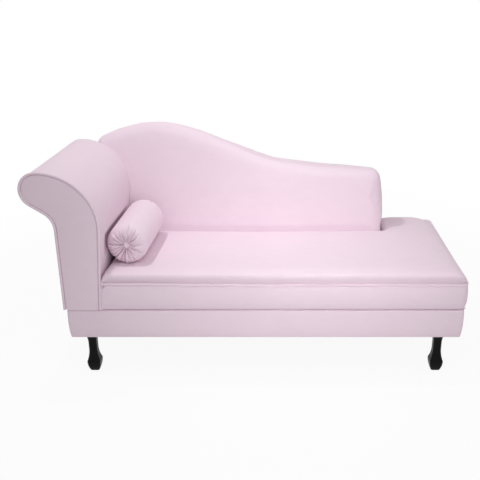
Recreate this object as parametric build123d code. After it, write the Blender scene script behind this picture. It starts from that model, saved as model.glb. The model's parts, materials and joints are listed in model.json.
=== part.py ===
"""Recamier: a lounge seat with one scroll arm, a wave-topped back and a loose bolster.

Millimetres. +X runs from the arm to the foot end, the front faces -Y, +Z is up.
The origin is on the floor, under the middle of the overall box.
"""
from build123d import *
import os
from math import acos, cos, pi, radians, sin, sqrt, tan

# Overall size
LENGTH = 1600.0
DEPTH = 700.0
HEIGHT = 852.0

# Heights that stack up from the floor
LEG_HEIGHT = 167.0
BAND_HEIGHT = 107.0
BAND_SEAM = 2.0
BORDER_HEIGHT = 103.0
CROWN_RISE = 37.0

# Upholstery layers
FABRIC = 2.0
WADDING = 4.0
SLACK = 0.6
PIPING_DIAMETER = 9.0
PIPING_PROUD = 3.5

# Base
ROLL_OVERHANG = 119.0
BAND_SET_IN = 4.0
BAND_CORNER = 10.0
BAND_TURN_UNDER = 30.0
DUST_CLOTH = 1.0
DUST_EDGE = 8.0
RAIL_THICK = 22.0
BEARER_THICK = 40.0
BEARER_COUNT = 3
BEARER_ROOM = 5.0
SCREW_DIAMETER = 5.0
SCREW_LENGTH = 70.0
SCREW_HEAD_DIAMETER = 10.0
SCREW_HEAD_HEIGHT = 3.0
SCREW_SPACING = 26.0
FIT = 0.1

# Legs
LEG_INSET = 76.0
LEG_SETBACK = 38.5
LEG_TOP_WIDTH = 46.0
LEG_TOP_BLOCK = 5.0
LEG_ANKLE_WIDTH = 31.0
LEG_ANKLE_HEIGHT = 117.0
LEG_ANKLE_LENGTH = 25.0
LEG_FOOT_WIDTH = 50.0
LEG_FOOT_HEIGHT = 40.0
LEG_CREASE = 2.0
LEG_SOLE_WIDTH = 34.0
LEG_BEVEL = 3.2
LEG_BLOCK_SIZE = 60.0
LEG_BLOCK_HEIGHT = 45.0
LEG_BOLT_DIAMETER = 8.0
LEG_BOLT_REACH = 32.0
TEE_NUT_BARREL = 11.0
TEE_NUT_HEIGHT = 11.0
TEE_NUT_FLANGE = 19.0
TEE_NUT_PLATE = 1.5

# Seat
CROWN_WIDTH = 90.0
SEAT_CORNER_RADIUS = 24.0
STRAP_WIDTH = 60.0
STRAP_THICK = 1.4
STRAP_PLAY = 0.1
STRAP_RAMP = 6.0
STRAP_END_LAP = 16.0
LONG_STRAPS = 4
STRAPS_PER_BAY = 2
DECK_CLOTH = 0.8

# Back
BACK_THICK = 222.0
RAKE = 12.2
BACK_LEFT_INSET = 121.5
FOOT_END_LENGTH = 240.0
BACK_END_LEAN = 3.5
CREST_INSET = 410.0
SHOULDER_DROP = 68.0
CREST_RADIUS = 540.0
SHOULDER_RADIUS = 40.0
WAVE_FALL_ANGLE = 22.8
DIP_RADIUS = 487.0
TAIL_FALL_ANGLE = 5.7
TAIL_DROP = 198.0
TAIL_RADIUS = 44.0
BACK_EDGE_RADIUS = 32.0
BACK_FOAM = 52.0
BACK_LIP = 17.0
BACK_BOARD = 4.0
RIB_THICK = 18.0
RIB_WIDTH = 85.0
UPRIGHT_THICK = 34.0
STRETCHER_HEIGHT = 60.0
STRETCHER_THICK = 22.0
BACK_STRAPS = 4
BACK_STRAP_FIRST = 50.0
BACK_STRAP_STEP = 95.0
LAG_DIAMETER = 8.0
LAG_LENGTH = 80.0
LAG_HEAD_DIAMETER = 18.0
LAG_HEAD_HEIGHT = 5.0

# Arm
ARM_DROP = 52.5
ROLL_RADIUS = 62.5
ROLL_ANGLE = 147.0
ARM_SWEEP_RADIUS = 200.0
ARM_LEAN = 4.0
ARM_NECK_RADIUS = 75.0
ARM_PROUD = 5.5
ARM_FOAM = 19.0
ARM_BOARD = 3.0
FORMER_THICK = 18.0
FACING_THICK = 10.0
FACING_EDGE = 6.0
REAR_FACING_THICK = 6.0
SLAT_THICK = 20.0
SLAT_HEIGHT = 40.0
SLAT_MID_HEIGHT = 500.0
SLAT_TOP_ANGLE = 50.0
SLAT_TOP_DEPTH = 30.0
ARM_SCREW_DIAMETER = 6.0
ARM_SCREW_LENGTH = 85.0
ARM_SCREW_SPACING = 220.0

# Bolster
BOLSTER_DIAMETER = 154.0
BOLSTER_LENGTH = 346.0
BOLSTER_YAW = 3.5
BOLSTER_SETBACK = 92.0
BOLSTER_SEAT_GAP = 0.3
BOLSTER_ARM_GAP = 2.0
BOLSTER_RIM = 24.0
BOLSTER_DISH = 12.0
BOLSTER_END_PAD = 28.0
PLEATS = 22
PLEAT_DEPTH = 3.5
BUTTON_DIAMETER = 27.0
BUTTON_HEIGHT = 10.0
TWINE_DIAMETER = 2.4

# Places worked out from the sizes above
LEFT = -LENGTH / 2
RIGHT = LENGTH / 2
FRONT = -DEPTH / 2
BACK = DEPTH / 2
FAR = LENGTH + DEPTH + HEIGHT
PIPING_RADIUS = PIPING_DIAMETER / 2
PIPING_SUNK = PIPING_RADIUS - PIPING_PROUD
BAND_TOP = LEG_HEIGHT + BAND_HEIGHT
BORDER_BOTTOM = BAND_TOP + BAND_SEAM
PIPING_LEVEL = BORDER_BOTTOM + BORDER_HEIGHT
SEAT_TOP = PIPING_LEVEL + CROWN_RISE
COVER_FILL = FABRIC + SLACK

BORDER_RIGHT = RIGHT - PIPING_PROUD
BORDER_FRONT = FRONT + PIPING_PROUD
BORDER_BACK = BACK - PIPING_PROUD
BAND_LEFT = LEFT + ROLL_OVERHANG
BAND_RIGHT = BORDER_RIGHT - BAND_SET_IN
BAND_FRONT = BORDER_FRONT + BAND_SET_IN
BAND_BACK = BORDER_BACK - BAND_SET_IN

RAIL_SET_IN = FABRIC + WADDING
RAIL_LEFT = BAND_LEFT + RAIL_SET_IN
RAIL_RIGHT = BAND_RIGHT - RAIL_SET_IN
RAIL_FRONT = BAND_FRONT + RAIL_SET_IN
RAIL_BACK = BAND_BACK - RAIL_SET_IN
RAIL_BOTTOM = LEG_HEIGHT + DUST_CLOTH + FABRIC
DECK_BOTTOM = BORDER_BOTTOM - STRAP_PLAY - DECK_CLOTH
STRAP_UPPER = DECK_BOTTOM - STRAP_PLAY - STRAP_THICK
RAIL_TOP = STRAP_UPPER - STRAP_PLAY - STRAP_THICK
BLOCK_TOP = RAIL_BOTTOM + LEG_BLOCK_HEIGHT
BEARER_BOTTOM = BLOCK_TOP + BEARER_ROOM
BEARER_MIDDLE = (BEARER_BOTTOM + RAIL_TOP) / 2

SHOULDER_HEIGHT = HEIGHT - SHOULDER_DROP
TAIL_HEIGHT = HEIGHT - TAIL_DROP
BACK_LEFT = LEFT + BACK_LEFT_INSET
BACK_FRONT = BACK - BACK_THICK
BACK_RIGHT = RIGHT - FOOT_END_LENGTH
BOARD_FRONT = BACK - COVER_FILL - BACK_BOARD
FOAM_REAR = COVER_FILL + BACK_FOAM
BACK_STRAP_FRONT = FOAM_REAR + STRAP_PLAY
RIB_FRONT = BACK_STRAP_FRONT + STRAP_THICK + STRAP_PLAY
UPRIGHT_FRONT = RIB_FRONT + RIB_THICK
FRAME_INSET = COVER_FILL + BACK_LIP + SLACK

ARM_TOP = HEIGHT - ARM_DROP
ARM_OUTER = BAND_LEFT - ARM_PROUD
ROLL_CENTRE_X = LEFT + PIPING_RADIUS + ROLL_RADIUS
BOARD_INSET = COVER_FILL + ARM_FOAM + SLACK
FORMER_INSET = BOARD_INSET + ARM_BOARD
FACING_FRONT = FRONT + PIPING_PROUD
FORMER_FRONT = FACING_FRONT + FACING_THICK
SLAT_FRONT = FORMER_FRONT + FORMER_THICK
ARM_REAR = -SLACK
REAR_FORMER_REAR = ARM_REAR - REAR_FACING_THICK
REAR_FORMER_FRONT = REAR_FORMER_REAR - FORMER_THICK


def block(x0, x1, y0, y1, z0, z1):
    """A box between two corners."""
    middle = Pos((x0 + x1) / 2, (y0 + y1) / 2, (z0 + z1) / 2)
    return middle * Box(x1 - x0, y1 - y0, z1 - z0)


def along_y(outline, y0, y1):
    """An XZ outline carried from y0 back to y1."""
    plane = Plane(origin=(0, y1, 0), x_dir=(1, 0, 0), z_dir=(0, -1, 0))
    return extrude(plane * outline, amount=y1 - y0)


def along_x(outline, x0, x1):
    """A YZ outline carried from x0 across to x1."""
    plane = Plane(origin=(x0, 0, 0), x_dir=(0, 1, 0), z_dir=(1, 0, 0))
    return extrude(plane * outline, amount=x1 - x0)


def polygon(*points):
    """A flat face with straight sides."""
    return make_face(Polyline(*points, close=True).edges())


def rod_z(x, y, z0, z1, diameter):
    """An upright round rod."""
    return Pos(x, y, (z0 + z1) / 2) * Cylinder(diameter / 2, z1 - z0)


def rod_y(x, z, y0, y1, diameter):
    """A round rod that runs front to back."""
    return Pos(x, (y0 + y1) / 2, z) * Rot(90, 0, 0) * Cylinder(diameter / 2, y1 - y0)


def inward(face, inset):
    """A flat outline drawn in all round, or out where the inset is negative."""
    if inset == 0:
        return face
    return offset(face, amount=-inset, kind=Kind.INTERSECTION)


def export(name, shape):
    """Write one named piece, or a group of like pieces."""
    pieces = shape if isinstance(shape, list) else [shape]
    solids = [solid for piece in pieces for solid in piece.solids()]
    export_step(solids[0] if len(solids) == 1 else Compound(solids), f"parts/{name}.step")


def rake_y(z, behind=0.0):
    """Depth of the raked face of the back at a height, or of a plane behind it."""
    return BACK_FRONT + behind / cos(radians(RAKE)) + (z - SEAT_TOP) * tan(radians(RAKE))


def raked_slab(front, rear, z0, z1):
    """A board that leans with the back, between two depths behind its face."""
    outline = polygon(
        (rake_y(z0, front), z0), (rake_y(z1, front), z1), (rake_y(z1, rear), z1), (rake_y(z0, rear), z0)
    )
    return along_x(outline, LEFT, RIGHT)


def behind_rake(behind, bottom):
    """Everything behind a raked plane."""
    outline = polygon(
        (rake_y(bottom, behind), bottom), (rake_y(FAR, behind), FAR), (FAR, FAR), (FAR, bottom)
    )
    return along_x(outline, LEFT, RIGHT)


def ahead_of_rake(behind, bottom):
    """Everything in front of a raked plane."""
    outline = polygon(
        (-FAR, bottom), (rake_y(bottom, behind), bottom), (rake_y(FAR, behind), FAR), (-FAR, FAR)
    )
    return along_x(outline, LEFT, RIGHT)


# Outlines


def back_end_x(z):
    """Where the leaning foot end of the back stands at a height."""
    return BACK_RIGHT - (z - SEAT_TOP) * tan(radians(BACK_END_LEAN))


def back_arm_x(z):
    """Where the leaning arm end of the back stands at a height."""
    return BACK_LEFT + (z - SEAT_TOP) * tan(radians(BACK_END_LEAN))


def wave_face(inset, bottom):
    """The back seen from the front: shoulder, crest, fall, dip, tail and two leaning ends."""
    low = bottom - inset
    fall_slope = tan(radians(WAVE_FALL_ANGLE))
    tail_slope = tan(radians(TAIL_FALL_ANGLE))
    crest = (LEFT + CREST_INSET, HEIGHT)
    shoulder = (back_arm_x(SHOULDER_HEIGHT), SHOULDER_HEIGHT)
    corner = (back_end_x(TAIL_HEIGHT), TAIL_HEIGHT)
    rise = TangentArc(crest, shoulder, tangent=(-1, 0))
    brow = JernArc(crest, (1, 0), CREST_RADIUS, -WAVE_FALL_ANGLE)
    start = brow @ 1
    drop = start.Y + start.X * fall_slope - corner[1] - corner[0] * tail_slope
    dip_x = drop / (fall_slope - tail_slope)
    dip = (dip_x, corner[1] + (corner[0] - dip_x) * tail_slope)
    end = (back_end_x(low), low)
    slope = FilletPolyline((start.X, start.Y), dip, corner, end, radius=[DIP_RADIUS, TAIL_RADIUS])
    foot = Polyline(end, (back_arm_x(low), low), shoulder)
    face = make_face([rise, brow] + slope.edges() + foot.edges())
    corner_point = face.vertices().sort_by_distance((*shoulder, 0))[0]
    return inward(fillet(corner_point, SHOULDER_RADIUS), inset)


def arm_inner_x(z):
    """Where the inner face of the arm stands at a height below its curve."""
    lean = radians(ARM_LEAN)
    top_x = ROLL_CENTRE_X + ARM_SWEEP_RADIUS * cos(lean)
    top_z = ARM_TOP - ARM_SWEEP_RADIUS * (1 + sin(lean))
    return top_x - (top_z - z) * tan(lean)


def arm_curves(bottom):
    """The scroll from the foot of the inner face, over the roll, down the outside."""
    top_z = ARM_TOP - ARM_SWEEP_RADIUS * (1 + sin(radians(ARM_LEAN)))
    neck_turn = ROLL_ANGLE - 90
    inner = Line((arm_inner_x(bottom), bottom), (arm_inner_x(top_z), top_z))
    over = JernArc(inner @ 1, inner % 1, ARM_SWEEP_RADIUS, 90 + ARM_LEAN)
    roll = JernArc(over @ 1, over % 1, ROLL_RADIUS, ROLL_ANGLE)
    neck_run = ARM_OUTER - (roll @ 1).X - ARM_NECK_RADIUS * (1 - cos(radians(neck_turn)))
    under = Line(roll @ 1, roll @ 1 + (roll % 1) * (neck_run / sin(radians(neck_turn))))
    neck = JernArc(under @ 1, under % 1, ARM_NECK_RADIUS, -neck_turn)
    outer = Line(neck @ 1, ((neck @ 1).X, bottom))
    return [inner, over, roll, under, neck, outer]


def arm_face(inset, bottom):
    """The scroll as a face, closed across its foot."""
    curves = arm_curves(bottom - inset)
    foot = Line(curves[-1] @ 1, curves[0] @ 0)
    return inward(make_face(curves + [foot]), inset)


def crown_face(low, high, inset, bottom):
    """A seat section: upright sides to the piping, then an arc up to the flat top."""
    base = bottom - inset
    radius = (CROWN_WIDTH**2 + CROWN_RISE**2) / (2 * CROWN_RISE)
    half = acos((radius - CROWN_RISE) / radius) / 2
    middle_run = CROWN_WIDTH - radius * sin(half)
    middle_level = SEAT_TOP - radius * (1 - cos(half))
    rise = ThreePointArc(
        (low, PIPING_LEVEL), (low + middle_run, middle_level), (low + CROWN_WIDTH, SEAT_TOP)
    )
    fall = ThreePointArc(
        (high - CROWN_WIDTH, SEAT_TOP), (high - middle_run, middle_level), (high, PIPING_LEVEL)
    )
    top = Line(rise @ 1, fall @ 0)
    sides = Polyline((high, PIPING_LEVEL), (high, base), (low, base), (low, PIPING_LEVEL))
    return inward(make_face([rise, top, fall] + sides.edges()), inset)


def leg_face(spread, trim):
    """Outline of a leg: top block, ankle, creased foot and sole, widened and then trimmed."""
    widths = (LEG_TOP_WIDTH, LEG_ANKLE_WIDTH, LEG_FOOT_WIDTH, LEG_SOLE_WIDTH)
    top, ankle, foot, sole = [width / 2 * spread - trim for width in widths]
    shoulder = LEG_HEIGHT - LEG_TOP_BLOCK
    ankle_low = LEG_ANKLE_HEIGHT - LEG_ANKLE_LENGTH
    crease_high = LEG_FOOT_HEIGHT + LEG_CREASE / 2
    crease_low = LEG_FOOT_HEIGHT - LEG_CREASE / 2
    half = [
        Line((top, LEG_HEIGHT), (top, shoulder)),
        TangentArc((ankle, LEG_ANKLE_HEIGHT), (top, shoulder), tangent=(0, 1)),
        Line((ankle, LEG_ANKLE_HEIGHT), (ankle, ankle_low)),
        TangentArc((ankle, ankle_low), (foot, crease_high), tangent=(0, -1)),
        Line((foot, crease_high), (foot, crease_low)),
        TangentArc((foot, crease_low), (sole, 0), tangent=(0, -1)),
    ]
    other = [mirror(edge, about=Plane.YZ).edge() for edge in half]
    cap = Line((-top, LEG_HEIGHT), (top, LEG_HEIGHT))
    floor = Line((-sole, 0), (sole, 0))
    return make_face(half + other + [cap, floor])


# Places of repeated pieces


def leg_places():
    """Leg centres by name."""
    xs = {"left": BAND_LEFT + LEG_INSET, "right": BAND_RIGHT - LEG_INSET}
    ys = {"front": BAND_FRONT + LEG_SETBACK, "back": BAND_BACK - LEG_SETBACK}
    return {f"{end}_{side}": (x, y) for end, y in ys.items() for side, x in xs.items()}


def bearer_places():
    """Centres of the cross bearers: one under the arm's inner face, the rest along the seat."""
    first = arm_inner_x(BORDER_BOTTOM) - FORMER_INSET
    step = (RAIL_RIGHT - first) / BEARER_COUNT
    return [first + step * number for number in range(BEARER_COUNT)]


def upright_places():
    """Centres of the back uprights: one beside each bearer, and one at the end of the back."""
    beside = (BEARER_THICK + UPRIGHT_THICK) / 2
    last = back_end_x(TAIL_HEIGHT) - FRAME_INSET - UPRIGHT_THICK / 2
    return [x - beside for x in bearer_places()] + [last]


def slat_places():
    """Centres of the arm slats: two at the foot, two halfway, one under the top, one in the roll."""
    half = SLAT_THICK / 2
    foot_z = RAIL_TOP + SLAT_HEIGHT / 2
    outer_x = ARM_OUTER + FORMER_INSET + SLACK + half
    places = []
    for z in (foot_z, SLAT_MID_HEIGHT):
        places.append((arm_inner_x(z - SLAT_HEIGHT / 2) - FORMER_INSET - SLACK - half, z))
        places.append((outer_x, z))
    reach = ARM_SWEEP_RADIUS - FORMER_INSET - SLAT_TOP_DEPTH
    angle = radians(SLAT_TOP_ANGLE)
    sweep_z = ARM_TOP - ARM_SWEEP_RADIUS
    places.append((ROLL_CENTRE_X + reach * cos(angle), sweep_z + reach * sin(angle)))
    places.append((ROLL_CENTRE_X, ARM_TOP - ROLL_RADIUS))
    return places


# Fasteners, or with some room added the holes that they pass through


def leg_bolts(room=0.0):
    """Bolts from the legs up through the blocks."""
    low = LEG_HEIGHT - LEG_BOLT_REACH - room
    high = BLOCK_TOP + room
    return [rod_z(x, y, low, high, LEG_BOLT_DIAMETER + 2 * room) for x, y in leg_places().values()]


def tee_nut_bodies(room=0.0):
    """Barrel and plate of the tee nut on each block."""
    nuts = []
    for x, y in leg_places().values():
        barrel = rod_z(x, y, BLOCK_TOP - TEE_NUT_HEIGHT - room, BLOCK_TOP, TEE_NUT_BARREL + 2 * room)
        plate = rod_z(x, y, BLOCK_TOP, BLOCK_TOP + TEE_NUT_PLATE, TEE_NUT_FLANGE)
        nuts.append(barrel + plate)
    return nuts


def frame_screws(room=0.0):
    """Screws through the long rails into each piece that butts against them."""
    middles = [RAIL_LEFT + BEARER_THICK / 2, RAIL_RIGHT - RAIL_THICK / 2] + bearer_places()
    levels = [BEARER_MIDDLE - SCREW_SPACING / 2, BEARER_MIDDLE + SCREW_SPACING / 2]
    shank = SCREW_DIAMETER + 2 * room
    head = SCREW_HEAD_DIAMETER + 2 * room
    sunk = SCREW_HEAD_HEIGHT + room
    reach = SCREW_LENGTH + room
    screws = []
    for x in middles:
        for z in levels:
            front = rod_y(x, z, RAIL_FRONT, RAIL_FRONT + reach, shank)
            screws.append(front + rod_y(x, z, RAIL_FRONT, RAIL_FRONT + sunk, head))
            back = rod_y(x, z, RAIL_BACK - reach, RAIL_BACK, shank)
            screws.append(back + rod_y(x, z, RAIL_BACK - sunk, RAIL_BACK, head))
    return screws


def back_bolts(room=0.0):
    """Lag bolts through the back rail into the uprights."""
    bolts = []
    for x in upright_places():
        tip = RAIL_BACK - LAG_LENGTH - room
        shank = rod_y(x, BEARER_MIDDLE, tip, RAIL_BACK, LAG_DIAMETER + 2 * room)
        sunk = RAIL_BACK - LAG_HEAD_HEIGHT - room
        head = rod_y(x, BEARER_MIDDLE, sunk, RAIL_BACK, LAG_HEAD_DIAMETER + 2 * room)
        bolts.append(shank + head)
    return bolts


def arm_screws(room=0.0):
    """Screws down through the foot slats into the left rail and the first bearer."""
    top = RAIL_TOP + SLAT_HEIGHT
    middle = (SLAT_FRONT + rake_y(RAIL_TOP, REAR_FORMER_FRONT)) / 2
    screws = []
    for x, _ in slat_places()[:2]:
        for y in (middle - ARM_SCREW_SPACING / 2, middle + ARM_SCREW_SPACING / 2):
            low = top - ARM_SCREW_LENGTH - room
            screws.append(rod_z(x, y, low, top, ARM_SCREW_DIAMETER + 2 * room))
    return screws


# Base


def base_plan(inset, corner=0.0):
    """Outline of the base in plan, drawn in from the face of the band."""
    width = BAND_RIGHT - BAND_LEFT - 2 * inset
    depth = BAND_BACK - BAND_FRONT - 2 * inset
    shape = RectangleRounded(width, depth, corner) if corner else Rectangle(width, depth)
    return Pos((BAND_LEFT + BAND_RIGHT) / 2, (BAND_FRONT + BAND_BACK) / 2) * shape


def level(plan, z0, z1):
    """A plan outline carried from one height to another."""
    return extrude(Pos(0, 0, z0) * plan, amount=z1 - z0)


def make_legs():
    """Four square vase legs with bevelled edges, and their bolts, tee nuts and blocks."""
    reach = LEG_TOP_WIDTH + LEG_FOOT_WIDTH
    sides = along_y(leg_face(1, 0), -reach, reach)
    corners = Rot(0, 0, 45) * along_y(leg_face(sqrt(2), LEG_BEVEL), -reach, reach)
    quarter = Rot(0, 0, 90)
    shape = sides & quarter * sides & corners & quarter * corners
    for name, (x, y) in leg_places().items():
        export(f"leg_{name}", Pos(x, y, 0) * shape - leg_bolts(FIT))
    export("leg_bolts", leg_bolts())
    export("leg_tee_nuts", [nut - leg_bolts(FIT) for nut in tee_nut_bodies()])
    rails = list(base_rails().values())
    blocks = []
    for x, y in leg_places().values():
        side = LEG_BLOCK_SIZE / 2
        y0 = RAIL_FRONT + RAIL_THICK if y < 0 else RAIL_BACK - RAIL_THICK - LEG_BLOCK_SIZE
        wood = block(x - side, x + side, y0, y0 + LEG_BLOCK_SIZE, RAIL_BOTTOM, BLOCK_TOP)
        blocks.append(wood - rails - leg_bolts(FIT) - tee_nut_bodies(FIT))
    export("leg_blocks", blocks)


def base_rails():
    """The four rails before they are drilled. The ends fit between the long rails."""
    y0 = RAIL_FRONT + RAIL_THICK
    y1 = RAIL_BACK - RAIL_THICK
    left = RAIL_LEFT + BEARER_THICK
    right = RAIL_RIGHT - RAIL_THICK
    return {
        "base_front_rail": block(RAIL_LEFT, RAIL_RIGHT, RAIL_FRONT, y0, RAIL_BOTTOM, RAIL_TOP),
        "base_back_rail": block(RAIL_LEFT, RAIL_RIGHT, y1, RAIL_BACK, RAIL_BOTTOM, RAIL_TOP),
        "base_left_rail": block(RAIL_LEFT, left, y0, y1, RAIL_BOTTOM, RAIL_TOP),
        "base_right_rail": block(right, RAIL_RIGHT, y0, y1, RAIL_BOTTOM, RAIL_TOP),
    }


def make_base():
    """Rails, bearers, screws, wadding, fabric band and dust cover."""
    holes = frame_screws(FIT) + back_bolts(FIT) + arm_screws(FIT)
    for name, rail in base_rails().items():
        export(name, rail - holes)
    y0 = RAIL_FRONT + RAIL_THICK
    y1 = RAIL_BACK - RAIL_THICK
    half = BEARER_THICK / 2
    bearers = [block(x - half, x + half, y0, y1, BEARER_BOTTOM, RAIL_TOP) for x in bearer_places()]
    export("base_bearers", [bearer - holes for bearer in bearers])
    export("frame_screws", frame_screws())

    wadding = base_plan(FABRIC + SLACK / 2, BAND_CORNER - FABRIC) - base_plan(RAIL_SET_IN)
    export("base_wadding", level(wadding, RAIL_BOTTOM, RAIL_TOP))
    under = LEG_HEIGHT + DUST_CLOTH
    outer = base_plan(0, BAND_CORNER)
    wall = level(outer - base_plan(FABRIC, BAND_CORNER - FABRIC), under, BAND_TOP)
    turn = level(outer - base_plan(BAND_TURN_UNDER), under, under + FABRIC)
    export("base_band", wall + turn - leg_bolts(FIT))
    export("dust_cover", level(base_plan(DUST_EDGE), LEG_HEIGHT, under) - leg_bolts(FIT))


# Seat


def seat_block(inset, bottom):
    """The crowned seat before the arm and the back are cut out of it."""
    across = crown_face(BORDER_FRONT, BORDER_BACK, inset, bottom)
    lengthwise = crown_face(LEFT - LENGTH, BORDER_RIGHT, inset, bottom)
    x0 = (ARM_OUTER + arm_inner_x(BORDER_BOTTOM)) / 2
    plan = block(x0, BORDER_RIGHT - inset, BORDER_FRONT + inset, BORDER_BACK - inset, 0, HEIGHT)
    corners = plan.edges().filter_by(Axis.Z).sort_by(Axis.X)[-2:]
    plan = fillet(corners, SEAT_CORNER_RADIUS - inset)
    return plan & along_x(across, LEFT, RIGHT) & along_y(lengthwise, FRONT, BACK)


def back_zone(room):
    """The space that the back takes up in the seat, with some room round it."""
    low = LEG_HEIGHT
    high = HEIGHT
    end = polygon(
        (LEFT, low), (back_end_x(low) + room, low), (back_end_x(high) + room, high), (LEFT, high)
    )
    zone = behind_rake(-room, low) & along_y(end, FRONT, BACK + DEPTH)
    straight = zone.edges().filter_by(GeomType.LINE)
    corner = straight.sort_by(lambda edge: (edge @ 0.5).X - (edge @ 0.5).Y)[-1]
    return fillet(corner, BACK_EDGE_RADIUS + room)


def arm_piping_tube(diameter):
    """A cord round the edge of the arm's front."""
    plane = Plane(origin=(0, FRONT + PIPING_RADIUS, 0), x_dir=(1, 0, 0), z_dir=(0, -1, 0))
    path = plane * Wire(arm_curves(BORDER_BOTTOM))
    return sweep(Plane(path @ 0, z_dir=path % 0) * Circle(diameter / 2), path=path)


def seat_piping_tube(diameter):
    """A cord round the top of the border, from the arm to the end of the back."""
    lean = radians(ARM_LEAN)
    x0 = arm_inner_x(PIPING_LEVEL + PIPING_RADIUS) + PIPING_RADIUS / cos(lean) + SLACK
    x1 = RIGHT - PIPING_RADIUS
    y0 = FRONT + PIPING_RADIUS
    y1 = BACK - PIPING_RADIUS
    end = back_end_x(PIPING_LEVEL - PIPING_RADIUS) + SLACK
    path = Pos(0, 0, PIPING_LEVEL) * FilletPolyline(
        (x0, y0), (x1, y0), (x1, y1), (end, y1), radius=SEAT_CORNER_RADIUS - PIPING_SUNK
    )
    return sweep(Plane(path @ 0, z_dir=path % 0) * Circle(diameter / 2), path=path)


def seat_body(inset, bottom):
    """The crowned seat, cut back from the arm and the back by the same inset."""
    room = SLACK + inset
    arm = along_y(arm_face(-room, BORDER_BOTTOM), FRONT, BACK)
    return seat_block(inset, bottom) - arm - back_zone(room)


def strap(stops, levels, width):
    """A webbing strap that steps between levels, along X, centred on Y zero."""
    under = list(zip(stops, levels))
    over = [(x, z + STRAP_THICK) for x, z in reversed(under)]
    return along_y(polygon(*under, *over), -width / 2, width / 2)


def woven_stops(start, end, crossings, first_up):
    """Where a strap changes level as it passes over and under the crossing straps."""
    half = STRAP_WIDTH / 2 + STRAP_PLAY
    stops = [start]
    levels = [RAIL_TOP]
    up = first_up
    for middle in crossings:
        z = STRAP_UPPER if up else RAIL_TOP
        stops += [middle - half - STRAP_RAMP, middle - half, middle + half, middle + half + STRAP_RAMP]
        levels += [RAIL_TOP, z, z, RAIL_TOP]
        up = not up
    return stops + [end], levels + [RAIL_TOP]


def make_seat():
    """Webbing, deck cloth, foam, covers and piping of the seat."""
    first = bearer_places()[0]
    long_start = first + BEARER_THICK / 2 - STRAP_END_LAP
    front_edge = RAIL_FRONT + RAIL_THICK
    step = (rake_y(RAIL_TOP, UPRIGHT_FRONT) - front_edge) / LONG_STRAPS
    long_ys = [front_edge + step * (number + 0.5) for number in range(LONG_STRAPS)]
    half = UPRIGHT_THICK / 2
    edges = [first + BEARER_THICK / 2]
    for place in upright_places()[1:]:
        edges += [place - half, place + half]
    edges.append(RAIL_RIGHT)
    cross_xs = []
    for low, high in zip(edges[::2], edges[1::2]):
        bay = (high - low) / STRAPS_PER_BAY
        cross_xs += [low + bay * (number + 0.5) for number in range(STRAPS_PER_BAY)]

    long_straps = []
    for number, y in enumerate(long_ys):
        stops, levels = woven_stops(long_start, RAIL_RIGHT, cross_xs, number % 2 == 0)
        long_straps.append(Pos(0, y, 0) * strap(stops, levels, STRAP_WIDTH))
    cross_straps = []
    for number, x in enumerate(cross_xs):
        stops, levels = woven_stops(RAIL_FRONT, RAIL_BACK, long_ys, number % 2 == 1)
        cross_straps.append(Pos(x, 0, 0) * Rot(0, 0, 90) * strap(stops, levels, STRAP_WIDTH))
    export("seat_webbing_long", long_straps)
    export("seat_webbing_cross", cross_straps)

    deck = block(long_start, RAIL_RIGHT, RAIL_FRONT, RAIL_BACK, DECK_BOTTOM, DECK_BOTTOM + DECK_CLOTH)
    export("seat_deck_cloth", deck - back_zone(COVER_FILL))

    groove = seat_piping_tube(PIPING_DIAMETER + SLACK)
    arm_cord = arm_piping_tube(PIPING_DIAMETER + SLACK)
    foam = seat_body(COVER_FILL, BORDER_BOTTOM) - groove - arm_cord
    export("seat_foam", foam)
    cover = seat_body(0, BORDER_BOTTOM) - seat_body(FABRIC, RAIL_BOTTOM) - arm_cord
    lower = block(LEFT, RIGHT, FRONT, BACK, 0, PIPING_LEVEL)
    export("seat_border", (cover & lower) - groove)
    export("seat_top_cover", cover - lower - groove)
    export("seat_piping", seat_piping_tube(PIPING_DIAMETER))


# Back


def back_body(inset, rear, bottom):
    """The back with soft front edges, drawn in by an inset, up to a rear plane."""
    body = along_y(wave_face(inset, bottom), FRONT, rear) & behind_rake(inset, bottom)
    face = body.faces().sort_by(Axis.Y)[0]
    rims = face.edges().sort_by(Axis.Z)[1:]
    return fillet(rims, BACK_EDGE_RADIUS - inset)


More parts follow.
